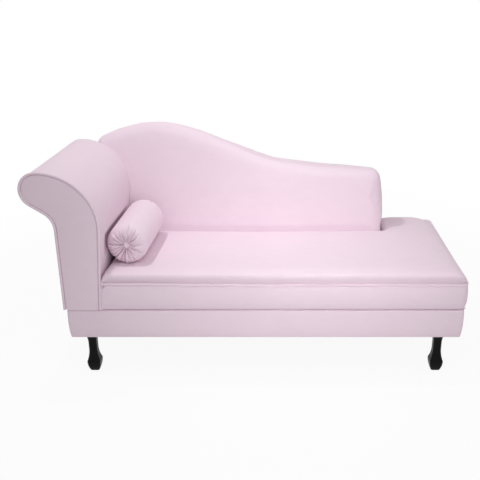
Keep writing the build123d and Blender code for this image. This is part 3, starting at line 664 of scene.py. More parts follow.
@dataclass
class Panel:
    """A four-sided shape in the XZ plane: up one side, across the head, down the other, along the foot."""

    rise: np.ndarray
    head: np.ndarray
    fall: np.ndarray
    lift: float = 1.0

    def sides(self, inset: float) -> tuple[np.ndarray, np.ndarray, np.ndarray]:
        """The three upper sides drawn in by an inset, with the feet kept at their height."""
        whole = np.vstack([self.rise, self.head[1:], self.fall[1:]])
        drawn = whole - outward(whole) * inset
        drawn[0, 1] = drawn[-1, 1] = whole[0, 1]
        first = len(self.rise)
        second = first + len(self.head) - 1
        return drawn[:first], drawn[first - 1 : second], drawn[second - 1 :]

    def ring(self, inset: float) -> np.ndarray:
        """The closed outline drawn in by an inset."""
        rise, head, fall = self.sides(inset)
        share = np.linspace(0, 1, len(head))[1:-1, None]
        foot = fall[-1] + (rise[0] - fall[-1]) * share
        return np.vstack([rise, head[1:], fall[1:], foot])

    def grid(self, inset: float) -> np.ndarray:
        """Rows of points from the foot to the head, each from the rising to the falling side."""
        rise, head, fall = self.sides(inset)
        other = fall[::-1]
        u = np.linspace(0, 1, len(head))[None, :, None]
        v = np.linspace(0, 1, len(rise))[:, None, None]
        plain = rise[:, None, :] * (1 - u) + other[:, None, :] * u
        bulge = head[None, :, :] - (head[0] * (1 - u) + head[-1] * u)
        return plain + bulge * v**self.lift


def with_depth(outline: np.ndarray, depth: np.ndarray | float) -> np.ndarray:
    """Put X, Z points at a depth."""
    depths = np.broadcast_to(depth, outline.shape[:-1])
    return np.stack([outline[..., 0], depths, outline[..., 1]], axis=-1)


@dataclass
class Rake:
    """The leaning plane of the back's front face."""

    angle: float = math.radians(12.2)
    level: float = 0.416
    depth: float = 0.128

    def y(self, z: np.ndarray | float, behind: float = 0.0) -> np.ndarray | float:
        """Depth of the plane at a height, or of one behind it."""
        return self.depth + behind / math.cos(self.angle) + (z - self.level) * math.tan(self.angle)


# Cords and repeated small pieces


def cord_tree() -> bpy.types.NodeTree:
    """Geometry nodes: a round cord along a line of edges."""
    graph, given, wanted = node_group(
        "Cord",
        "GeometryNodeTree",
        {"Line": SocketKind.SHAPE, "Radius": SocketKind.VALUE, "Finish": SocketKind.MATERIAL},
        {"Cord": SocketKind.SHAPE},
    )
    line = graph.add("GeometryNodeMeshToCurve", {0: given["Line"]})
    even = graph.add("GeometryNodeResampleCurve", {"Curve": line.outputs[0]}, mode="LENGTH")
    even.inputs["Length"].default_value = CORD_SPACING
    inputs = {"Resolution": CORD_SIDES, "Radius": given["Radius"]}
    ring = graph.add("GeometryNodeCurvePrimitiveCircle", inputs)
    skin = graph.add(
        "GeometryNodeCurveToMesh",
        {"Curve": even.outputs[0], "Profile Curve": ring.outputs[0], "Fill Caps": True},
    )
    smooth = graph.add("GeometryNodeSetShadeSmooth", {0: skin.outputs[0]})
    real = graph.add("GeometryNodeRealizeInstances", {0: smooth.outputs[0]})
    dressed = graph.add(
        "GeometryNodeSetMaterial", {"Geometry": real.outputs[0], "Material": given["Finish"]}
    )
    graph.tree.links.new(dressed.outputs[0], wanted["Cord"])
    return graph.tree


def stitch_tree() -> bpy.types.NodeTree:
    """Geometry nodes: short rounded stitches along a line of edges, each turned a little."""
    graph, given, wanted = node_group(
        "Stitches",
        "GeometryNodeTree",
        {
            "Line": SocketKind.SHAPE,
            "Spacing": SocketKind.VALUE,
            "Length": SocketKind.VALUE,
            "Radius": SocketKind.VALUE,
            "Wobble": SocketKind.VALUE,
            "Finish": SocketKind.MATERIAL,
        },
        {"Stitches": SocketKind.SHAPE},
    )
    line = graph.add("GeometryNodeMeshToCurve", {0: given["Line"]})
    stops = graph.add("GeometryNodeCurveToPoints", {"Curve": line.outputs[0]}, mode="LENGTH")
    graph.tree.links.new(given["Spacing"], stops.inputs["Length"])
    inputs = {"Segments": STITCH_SIDES, "Rings": STITCH_RINGS, "Radius": 1.0}
    bead = graph.add("GeometryNodeMeshUVSphere", inputs)
    half = graph.math("MULTIPLY", given["Length"], 0.5)
    size = graph.add("ShaderNodeCombineXYZ", {0: given["Radius"], 1: given["Radius"], 2: half})
    shaped = graph.add("GeometryNodeTransform", {"Geometry": bead.outputs[0], "Scale": size.outputs[0]})
    low = graph.math("MULTIPLY", given["Wobble"], -1.0)
    inputs = {"Min": low, "Max": given["Wobble"], "Seed": STITCH_SEED}
    turn = graph.add("FunctionNodeRandomValue", inputs, data_type="FLOAT")
    tilt = graph.add("ShaderNodeCombineXYZ", {0: turn.outputs[1], 1: turn.outputs[1]})
    tilted = graph.add(
        "FunctionNodeRotateRotation",
        {"Rotation": stops.outputs["Rotation"], "Rotate By": tilt.outputs[0]},
        rotation_space="LOCAL",
    )
    set_out = graph.add(
        "GeometryNodeInstanceOnPoints",
        {"Points": stops.outputs["Points"], "Instance": shaped.outputs[0], "Rotation": tilted.outputs[0]},
    )
    real = graph.add("GeometryNodeRealizeInstances", {0: set_out.outputs[0]})
    smooth = graph.add("GeometryNodeSetShadeSmooth", {0: real.outputs[0]})
    dressed = graph.add(
        "GeometryNodeSetMaterial", {"Geometry": smooth.outputs[0], "Material": given["Finish"]}
    )
    graph.tree.links.new(dressed.outputs[0], wanted["Stitches"])
    return graph.tree


def along_path(
    name: str, tree: str, path: np.ndarray, closed: bool, values: dict[str, object]
) -> bpy.types.Object:
    """Run a geometry tree along a path and keep the plain mesh.

    Args:
        name: name of the new piece.
        tree: name of the tree.
        path: points of the path, one a row.
        closed: whether the path joins up.
        values: the tree's inputs by name.

    Returns:
        The new piece.
    """
    last = len(path)
    edges = [(number, number + 1) for number in range(last - 1)]
    if closed:
        edges.append((last - 1, 0))
    mesh = bpy.data.meshes.new(name)
    mesh.from_pydata(path.tolist(), edges, [])
    piece = bpy.data.objects.new(name, mesh)
    bpy.context.scene.collection.objects.link(piece)
    modifier = piece.modifiers.new("along", "NODES")
    modifier.node_group = bpy.data.node_groups[tree]
    for item in modifier.node_group.interface.items_tree:
        if item.in_out == "INPUT" and item.name in values:
            modifier[item.identifier] = values[item.name]
    flatten(piece)
    return piece


@dataclass
class Piping:
    """A covered cord sewn into a seam."""

    name: str
    node: str
    radius: float = 0.0045

    def build(self, path: np.ndarray) -> bpy.types.Object:
        """Lay the cord along a path.

        Args:
            path: points of its middle line.

        Returns:
            The dressed cord.
        """
        values = {"Radius": self.radius, "Finish": SUEDE.material()}
        piece = along_path(self.name, "Cord", path, False, values)
        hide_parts(self.node)
        return finish_piece(piece, SUEDE, FRAME_BODY)


@dataclass(frozen=True)
class Stitch:
    """Size and spacing of a row of stitches or staples."""

    spacing: float
    length: float
    radius: float
    wobble: float

    def row(self, name: str, path: np.ndarray, closed: bool, slot: Slot) -> bpy.types.Object:
        """Set a row of them along a path.

        Args:
            name: name of the piece.
            path: points of the row.
            closed: whether the row joins up.
            slot: material slot.

        Returns:
            The dressed row.
        """
        finish = FINISHES[slot]
        values = {
            "Spacing": self.spacing, "Length": self.length, "Radius": self.radius, "Wobble": self.wobble,
            "Finish": finish.material(),
        }
        return finish_piece(along_path(name, "Stitches", path, closed, values), finish, FRAME_BODY)


# Bolster


@dataclass
class Bolster:
    """The loose round bolster with gathered ends and a covered button on each."""

    yaw: float = math.radians(3.5)
    rim: float = 0.034
    dish: float = 0.012
    dish_power: float = 1.7
    hub: float = 0.006
    face_rows: int = 26
    rim_rows: int = 14
    shaft_rows: int = 27
    around: int = 352
    slack: float = 0.006
    clear_past_end: float = 0.02
    folds: int = 22
    fold_depth: float = 0.0115
    fold_depth_shares: Span = (0.35, 1.25)
    fold_jitter: float = 0.36
    fold_bend: float = 3.2
    fold_bend_from: float = 0.02
    fold_bend_power: float = 1.3
    fold_reach: Span = (0.070, 0.122)
    fold_fade: float = 0.04
    fold_start: Span = (0.003, 0.02)
    crease_width: Span = (0.0011, 0.026)
    crease_power: float = 1.05
    ridge_height: float = 0.5
    ridge_offset: float = 1.9
    ridge_width: float = 1.3
    fold_seeds: tuple[int, int] = (5, 8)
    button_radius: float = 0.0115
    button_height: float = 0.009
    button_rim: float = 0.35
    button_power: float = 1.2
    button_under: Rings = ((0.55, 0.0), (0.86, 0.0012), (0.985, 0.0018))
    button_rows: int = 9
    button_around: int = 40

    def __post_init__(self) -> None:
        """Read the bolster's place and size from the frame."""
        low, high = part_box("bolster_core")
        self.middle = (low + high) / 2
        self.radius = (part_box("bolster_cover")[1].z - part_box("bolster_cover")[0].z) / 2
        self.half = self.reach("bolster_cover")

    def reach(self, node: str) -> float:
        """Half the length of one of the bolster's nodes along its axis."""
        axis = Vector((math.sin(self.yaw), math.cos(self.yaw), 0.0))
        return max((vert.co - self.middle).dot(axis) for vert in frame["nodes"][node].data.vertices)

    def to_place(self, local: np.ndarray) -> np.ndarray:
        """Turn points from the bolster's own axes, with its length along Y, to the frame."""
        c, s = math.cos(self.yaw), math.sin(self.yaw)
        x = local[..., 0] * c + local[..., 1] * s
        y = -local[..., 0] * s + local[..., 1] * c
        turned = np.stack([x, y, local[..., 2]], axis=-1)
        return turned + np.array(self.middle)

    def push_clear(self, points: np.ndarray, clearance: float) -> np.ndarray:
        """Move points out of the bolster's round space.

        Args:
            points: rows of X, Y, Z.
            clearance: gap to leave.

        Returns:
            The points, none nearer to the bolster than the gap.
        """
        c, s = math.cos(self.yaw), math.sin(self.yaw)
        offset = points - np.array(self.middle)
        across = np.stack([offset[:, 0] * c - offset[:, 1] * s, offset[:, 2]], axis=1)
        along = offset[:, 0] * s + offset[:, 1] * c
        size = np.linalg.norm(across, axis=1)
        want = self.radius + clearance
        near = (size < want) & (np.abs(along) < self.half + self.clear_past_end)
        scale = np.where(near, want / np.maximum(size, TINY), 1.0)
        moved = points.copy()
        shift = across * (scale[:, None] - 1.0)
        moved[:, 0] += shift[:, 0] * c
        moved[:, 1] -= shift[:, 0] * s
        moved[:, 2] += shift[:, 1]
        return moved

    def profile(self) -> np.ndarray:
        """Half of the bolster's side view, from the button out to its middle: radius and length."""
        flat = self.radius - self.rim
        radii = np.linspace(self.hub, flat, self.face_rows)
        share = (radii - radii[0]) / (flat - radii[0])
        face = np.stack([radii, self.half - self.dish * (1 - share) ** self.dish_power], axis=1)
        turn = np.linspace(0, math.pi / 2, self.rim_rows)[1:]
        rim = np.stack(
            [flat + self.rim * np.sin(turn), self.half - self.rim * (1 - np.cos(turn))], axis=1
        )
        run = np.linspace(self.half - self.rim, 0.0, self.shaft_rows)[1:]
        shaft = np.stack([np.full_like(run, self.radius), run], axis=1)
        return np.vstack([face, rim, shaft])

    def gathers(self, profile: np.ndarray, angles: np.ndarray, seed: int) -> np.ndarray:
        """How far the folds of one end move the cover in.

        Args:
            profile: radius and length, one point a row.
            angles: angles round the axis.
            seed: seed of the end's own folds.

        Returns:
            The depth at each point of the profile, for each angle.
        """
        chance = np.random.default_rng(seed)
        run = np.concatenate([[0.0], np.cumsum(np.linalg.norm(np.diff(profile, axis=0), axis=1))])
        run = run + profile[0, 0]
        depth = np.zeros((len(profile), len(angles)))
        gap = math.tau / self.folds
        opening = ease((run - self.fold_start[0]) / self.fold_start[1])
        for number in range(self.folds):
            start = number * gap + chance.uniform(-self.fold_jitter, self.fold_jitter) * gap
            bend = chance.uniform(-self.fold_bend, self.fold_bend)
            reach = chance.uniform(*self.fold_reach)
            deep = self.fold_depth * chance.uniform(*self.fold_depth_shares)
            slant = chance.choice([-1.0, 1.0])
            line = start + bend * np.maximum(run - self.fold_bend_from, 0.0) ** self.fold_bend_power
            span = (angles[None, :] - line[:, None] + math.pi) % math.tau - math.pi
            width = self.crease_width[0] + self.crease_width[1] * profile[:, 0]
            side = span * profile[:, :1] / width[:, None]
            crease = np.exp(-np.abs(side) ** self.crease_power)
            beside = (side - self.ridge_offset * slant) ** 2
            ridge = self.ridge_height * np.exp(-beside / self.ridge_width)
            fade = ease((reach - run) / self.fold_fade) * opening
            depth += deep * fade[:, None] * (crease - ridge)
        return depth

    def build_cover(self) -> bpy.types.Object:
        """The gathered cover, closed under both buttons."""
        half = self.profile()
        angles = np.linspace(0, math.tau, self.around, endpoint=False)
        whole = np.vstack([half * [1, -1], half[-2::-1]])
        along = np.gradient(whole, axis=0)
        along /= np.linalg.norm(along, axis=1, keepdims=True)
        normal = np.stack([along[:, 1], -along[:, 0]], axis=1)
        drawn = np.zeros((len(whole), self.around))
        front_seed, back_seed = self.fold_seeds
        drawn[: len(half)] += self.gathers(half, angles, front_seed)
        drawn[len(half) - 1 :] += self.gathers(half, angles, back_seed)[::-1]
        radius = whole[:, :1] - normal[:, :1] * drawn
        length = whole[:, 1:] - normal[:, 1:] * drawn
        towards_end = np.clip(whole[:, 1:] / self.half, -1, 1)
        slack = 1.0 - self.slack * (1 - np.cos(towards_end * math.pi)) / 2
        radius = np.minimum(radius * slack, self.radius)
        length = np.clip(length, -self.half, self.half)
        local = np.stack([radius * np.cos(angles), length, radius * np.sin(angles)], axis=-1)
        form = Form()
        numbers = form.place(self.to_place(local))
        form.net(numbers, closed=True)
        for row, end in ((0, -1), (-1, 1)):
            centre = np.array([[0.0, end * (self.half - self.dish), 0.0]])
            hub = form.place(self.to_place(centre))
            form.net(np.vstack([np.full(self.around, hub[0]), numbers[row]]), closed=True)
        return form.piece("bolster_pillow")

    def build_button(self, end: int, name: str) -> bpy.types.Object:
        """A covered button: a low dome with a rounded edge that sits in the gathers.

        Args:
            end: -1 for the front, 1 for the back.
            name: name of the piece.

        Returns:
            The button.
        """
        turn = np.linspace(0, math.pi / 2, self.button_rows)
        crown = (1 - self.button_rim) * np.sin(turn) ** self.button_power
        dome = np.stack(
            [self.button_radius * np.cos(turn), self.button_height * (self.button_rim + crown)], axis=1
        )
        side = np.vstack([np.array(self.button_under) * [self.button_radius, 1.0], dome])
        side[-1, 0] = 0.0
        angles = np.linspace(0, math.tau, self.button_around, endpoint=False)
        base = self.half - self.dish
        local = np.stack(
            [
                side[:, :1] * np.cos(angles),
                np.broadcast_to(end * (base + side[:, 1:]), (len(side), len(angles))),
                side[:, :1] * np.sin(angles),
            ],
            axis=-1,
        )
        form = Form()
        numbers = form.place(self.to_place(local))
        form.net(numbers, closed=True)
        hub = form.place(self.to_place(np.array([[0.0, end * base, 0.0]])))
        form.net(np.vstack([np.full(len(angles), hub[0]), numbers[0]]), closed=True)
        return form.piece(name)

    def build(self) -> None:
        """Make and dress the cover and its buttons."""
        cover = self.build_cover()
        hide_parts("bolster_cover", "bolster_core")
        finish_piece(cover, SUEDE, BOLSTER_BODY)
        for end, side in ((-1, "front"), (1, "back")):
            button = self.build_button(end, f"bolster_covered_button_{side}")
            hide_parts(f"bolster_button_{side}")
            finish_piece(button, SUEDE, BOLSTER_BODY)


# Back


@dataclass
class Back:
    """The wave-topped back: a stuffed form with a slip-stitched panel behind."""

    rake: Rake
    board_inset: float = 0.0026
    corner_turn: float = 40.0
    rim_width: float = 0.036
    rim_depth: float = 0.034
    rim_steps: int = 7
    rows: int = 42
    columns: int = 108
    depth_rows: int = 9
    roll_over: float = 0.031
    roll_power: float = 1.8
    roll_from: float = 0.44
    roll_height: float = 0.14
    settle: float = 0.007
    settle_left: Span = (-0.40, 0.16)
    settle_right: Span = (0.42, 0.14)
    tuck_in: float = 0.011
    tuck_height: float = 0.055
    tuck_past_arm: Span = (0.09, 0.08)
    tuck_before_rear: Span = (0.03, 0.09)
    upright_cover: float = 0.014
    edge_setback: float = 0.006
    panel_edge: Rings = ((0.0025, 0.0018), (0.006, 0.0004), (0.0085, 0.0022), (0.0105, 0.0022))
    panel_inset: float = 0.014
    stitch_inset: float = 0.0095
    stitch_setback: float = 0.0018
    stitch: Stitch = Stitch(spacing=0.009, length=0.0055, radius=0.0005, wobble=0.12)
    held_rear: Span = (0.04, 0.03)
    held_foot: Span = (0.43, 0.02)
    held_behind: float = 0.16
    stuffing: Stuffing = Stuffing(pressure=3.0, cap=0.005)

    def __post_init__(self) -> None:
        """Read the outline from the frame and share out its points."""
        low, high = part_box("back_board")
        self.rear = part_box("back_cover")[1].y
        line = outline_of("back_board", (low.y + high.y) / 2, self.board_inset)
        past_left = ease((line[:, 0] - self.settle_left[0]) / self.settle_left[1])
        before_right = ease((self.settle_right[0] - line[:, 0]) / self.settle_right[1])
        line[:, 1] -= self.settle * past_left * before_right * self.high_up(line[:, 1])
        turns = np.degrees(np.unwrap(np.arctan2(*np.gradient(line, axis=0).T[::-1])))
        first = int(np.argmin(np.abs(turns - (turns[0] + self.corner_turn))))
        last = len(turns) - 1 - int(np.argmin(np.abs(turns[::-1] - (turns[-1] - self.corner_turn))))
        self.panel = Panel(
            evenly(line[: first + 1], self.rows),
            evenly(line[first : last + 1], self.columns),
            evenly(line[last:], self.rows),
        )

    def high_up(self, z: np.ndarray) -> np.ndarray:
        """From 0 where the back stands plain to 1 where it rolls over."""
        return ease((z - self.roll_from) / self.roll_height)

    def let_down(self, outline: np.ndarray, share: float = 1.0) -> np.ndarray:
        """Let the head of an outline down, as it is towards the rear.

        Args:
            outline: points across and up.
            share: how much of the whole way.

        Returns:
            The lowered points.
        """
        lowered = outline.copy()
        lowered[..., 1] -= share * self.roll_over * self.high_up(outline[..., 1])
        return lowered

    def layers(self) -> list[np.ndarray]:
        """Rings from the front face round the rim to the panel behind."""
        rings = []
        for turn in np.linspace(0, math.pi / 2, self.rim_steps):
            ring = self.panel.ring(self.rim_width * (1 - math.sin(turn)))
            depth = self.rim_depth * (1 - math.cos(turn))
            rings.append(with_depth(ring, self.rake.y(ring[:, 1], depth)))
        start = rings[-1][:, 1]
        stop = self.rear - self.edge_setback
        for share in np.linspace(0, 1, self.depth_rows + 1)[1:]:
            ring = self.let_down(self.panel.ring(0.0), share**self.roll_power)
            rings.append(with_depth(ring, start + (stop - start) * share))
        for inset, setback in self.panel_edge:
            ring = self.let_down(self.panel.ring(inset))
            rings.append(with_depth(ring, self.rear - setback))
        rings.append(with_depth(self.let_down(self.panel.ring(self.panel_inset)), self.rear))
        return rings

    def seam(self) -> np.ndarray:
        """The line of slip stitches round the panel behind, open at the foot."""
        rise, head, fall = self.panel.sides(self.stitch_inset)
        line = self.let_down(np.vstack([rise, head[1:], fall[1:]]))
        return with_depth(line, self.rear - self.stitch_setback)

    def eased(self, points: np.ndarray) -> np.ndarray:
        """Ease off the top rear corners of the uprights under the rolled cover."""
        start = self.rake.y(points[:, 2], self.rim_depth)
        share = np.clip((points[:, 1] - start) / (self.rear - self.edge_setback - start), 0, 1)
        fall = self.roll_over * share**self.roll_power + self.settle - self.upright_cover
        lowered = points.copy()
        lowered[:, 2] -= np.maximum(fall, 0.0) * self.high_up(points[:, 2])
        return lowered

    def tucked(self, points: np.ndarray) -> np.ndarray:
        """Draw the foot of the back towards the arm, which tucks in its foot end above the seat."""
        arm_end = self.panel.fall[:, 0].max()
        low_down = ease(1 - (points[:, 2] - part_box("seat_top_cover")[1].z) / self.tuck_height)
        past_arm = ease((points[:, 0] - arm_end + self.tuck_past_arm[0]) / self.tuck_past_arm[1])
        before_rear = self.rear - self.tuck_before_rear[0] - points[:, 1]
        drawn = points.copy()
        drawn[:, 0] -= self.tuck_in * low_down * past_arm * ease(before_rear / self.tuck_before_rear[1])
        return drawn

    def held(self, points: np.ndarray) -> np.ndarray:
        """How firmly each point is held while the form swells, most near the panel and the foot."""
        held = ease((points[:, 1] - (self.rear - self.held_rear[0])) / self.held_rear[1])
        held = np.maximum(held, ease((self.held_foot[0] - points[:, 2]) / self.held_foot[1]))
        held[points[:, 1] - self.rake.y(points[:, 2]) > self.held_behind] = 1.0
        return held

    def build(self) -> None:
        """Make, stuff and dress the back, and stitch its panel."""
        form = Form()
        front = self.panel.grid(self.rim_width)
        form.net(form.place(with_depth(front, self.rake.y(front[..., 1]))))
        form.net(form.place(np.array(self.layers())), closed=True)
        behind = self.let_down(self.panel.grid(self.panel_inset))
        form.net(form.place(with_depth(behind, self.rear)))
        piece = form.piece("back_upholstery", weld=SEAM_WELD)
        points = self.tucked(points_of(piece))
        move_points(piece, points)
        self.stuffing.swell(piece, self.held(points))
        subdivide(piece)
        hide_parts("back_cover", "back_foam", "back_outside_cover", "back_board")
        finish_piece(piece, SUEDE, FRAME_BODY)
        follow_cover("back_uprights", "eased", Slot.FRAME_WOOD, self.eased)
        self.stitch.row("back_panel_stitches", self.seam(), False, Slot.SUEDE)


# Arm


@dataclass
class Arm:
    """The scroll arm: a stuffed roll with a puffed front facing, and piping round it."""

    rake: Rake
    facing_inset: float = 0.0051
    facing_cut: float = 0.001
    roll_radius: float = 0.0625
    roll_turn: float = math.radians(237)
    lean: float = math.radians(4)
    neck_level: float = 0.588
    panel_lift: float = 3.0
    rear_gap: float = 0.0006
    rear_setback: float = 0.006
    rows: int = 54
    columns: int = 14
    depth_rows: int = 40
    facing_edge: Rings = ((0.0085, 0.0), (0.0062, 0.0010), (0.0048, 0.0040), (0.0036, 0.0068), (0.0, 0.0080))
    rear_edge: Rings = ((0.0018, 0.0018), (0.0055, 0.0003))
    toe_in: float = 0.020
    toe_in_rise: float = 0.3
    sink: float = 0.010
    bolster_gap: float = 0.012
    hang: float = 0.003
    hang_height: float = 0.04
    held_seam: Span = (0.0045, 0.0040)
    held_rear: Span = (0.03, 0.02)
    held_foot: Span = (0.31, 0.02)
    held_beside_seat: tuple[float, float, float] = (-0.6, 0.005, 0.43)
    inside: tuple[tuple[str, Slot], ...] = (
        ("arm_front_former", Slot.FRAME_WOOD),
        ("arm_rear_former", Slot.FRAME_WOOD),
        ("arm_slats", Slot.FRAME_WOOD),
        ("arm_board", Slot.HARDBOARD),
        ("arm_screws", Slot.STEEL),
    )
    stuffing: Stuffing = Stuffing(pressure=3.0, cap=0.004)

    def __post_init__(self) -> None:
        """Read the scroll from the frame and share out its points."""
        low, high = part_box("arm_front_facing")
        self.front = low.y
        self.line = outline_of("arm_front_facing", high.y - self.facing_cut, self.facing_inset)
        self.foot = float(self.line[0, 1])
        cover_low, cover_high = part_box("arm_cover")
        roll = np.array([cover_low.x + self.roll_radius, cover_high.z - self.roll_radius])
        top = int(np.argmax(self.line[:, 1]))
        end = roll + self.roll_radius * np.array([math.cos(self.roll_turn), math.sin(self.roll_turn)])
        tail = int(np.argmin(np.linalg.norm(self.line - end, axis=1)))
        rise = self.halves(self.line[: top + 1])
        fall = self.halves(self.line[tail:][::-1])[::-1]
        self.panel = Panel(rise, evenly(self.line[top : tail + 1], self.columns), fall, lift=self.panel_lift)

    def halves(self, side: np.ndarray) -> np.ndarray:
        """Share out a side's points, half of them below the neck."""
        split = int(np.argmax(side[:, 1] > self.neck_level))
        half = self.rows // 2
        return np.vstack([evenly(side[: split + 1], half), evenly(side[split:], half)[1:]])

    def inner_x(self, z: np.ndarray | float, y: np.ndarray | float) -> np.ndarray | float:
        """Where the inner face stands at a height below its curve and a depth."""
        return float(self.line[0, 0]) + (z - self.foot) * math.tan(self.lean) + self.turned(y)

    def turned(self, y: np.ndarray | float) -> np.ndarray | float:
        """How far the arm has come in towards the seat at a depth."""
        share = (y - self.front) / (self.rake.y(self.neck_level) - self.front)
        return self.toe_in * np.clip(share, 0.0, None)

    def turn_in(self, points: np.ndarray) -> np.ndarray:
        """Turn the rear of the arm in towards the seat and let its top sink a little."""
        turned = points.copy()
        come_in = self.turned(points[:, 1])
        tall = np.clip((points[:, 2] - self.foot) / (self.line[:, 1].max() - self.foot), 0, 1)
        turned[:, 0] += come_in * ease(tall / self.toe_in_rise)
        turned[:, 2] -= self.sink * come_in / self.toe_in * tall**2
        return turned

    def layers(self) -> list[np.ndarray]:
        """Rings from the front facing's edge back to the rear one."""
        rings = [
            with_depth(self.panel.ring(inset), self.front + setback) for inset, setback in self.facing_edge
        ]
        plain = self.panel.ring(0.0)
        start = self.front + self.facing_edge[-1][1]
        stop = self.rake.y(plain[:, 1], -self.rear_gap) - self.rear_setback
        for share in np.linspace(0, 1, self.depth_rows + 1)[1:]:
            rings.append(with_depth(plain, start + (stop - start) * share))
        for inset, setback in self.rear_edge:
            ring = self.panel.ring(inset)
            rings.append(with_depth(ring, self.rake.y(ring[:, 1], -self.rear_gap) - setback))
        return rings

    def held(self, points: np.ndarray) -> np.ndarray:
        """How firmly each point is held while the form swells, most at seams and beside the seat."""
        middle, reach = self.held_seam
        inner, setback, level = self.held_beside_seat
        held = ease((points[:, 1] - self.rake.y(points[:, 2]) + self.held_rear[0]) / self.held_rear[1])
        held = np.maximum(held, ease((self.held_foot[0] - points[:, 2]) / self.held_foot[1]))
        seam = np.abs(points[:, 1] - (self.front + middle)) < reach
        beside = (points[:, 2] < level) & (points[:, 0] > inner) & (points[:, 1] > self.front + setback)
        held[seam | beside] = 1.0
        return held

    def build(self, bolster: Bolster) -> None:
        """Make, stuff and dress the arm, its frame and its piping.

        Args:
            bolster: the bolster that the arm has to stay clear of.
        """
        form = Form()
        facing = self.panel.grid(self.facing_edge[0][0])
        form.net(form.place(with_depth(facing, self.front)))
        form.net(form.place(np.array(self.layers())), closed=True)
        inset, setback = self.rear_edge[-1]
        rear = self.panel.grid(inset)
        form.net(form.place(with_depth(rear, self.rake.y(rear[..., 1], -self.rear_gap) - setback)))
        piece = form.piece("arm_upholstery", weld=SEAM_WELD)
        points = self.turn_in(points_of(piece))
        points[:, 2] -= self.hang * ease(1 - (points[:, 2] - self.foot) / self.hang_height)
        move_points(piece, points)
        self.stuffing.swell(piece, self.held(points))
        subdivide(piece)
        move_points(piece, bolster.push_clear(points_of(piece), self.bolster_gap))
        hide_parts("arm_cover", "arm_foam", "arm_front_facing", "arm_rear_facing")
        finish_piece(piece, SUEDE, FRAME_BODY)
        for node, slot in self.inside:
            follow_cover(node, "turned", slot, self.turn_in)
        cord = Piping("arm_welt", "arm_piping")
        cord.build(with_depth(evenly(self.line, CORD_STEPS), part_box("arm_piping")[0].y + cord.radius))


# Seat


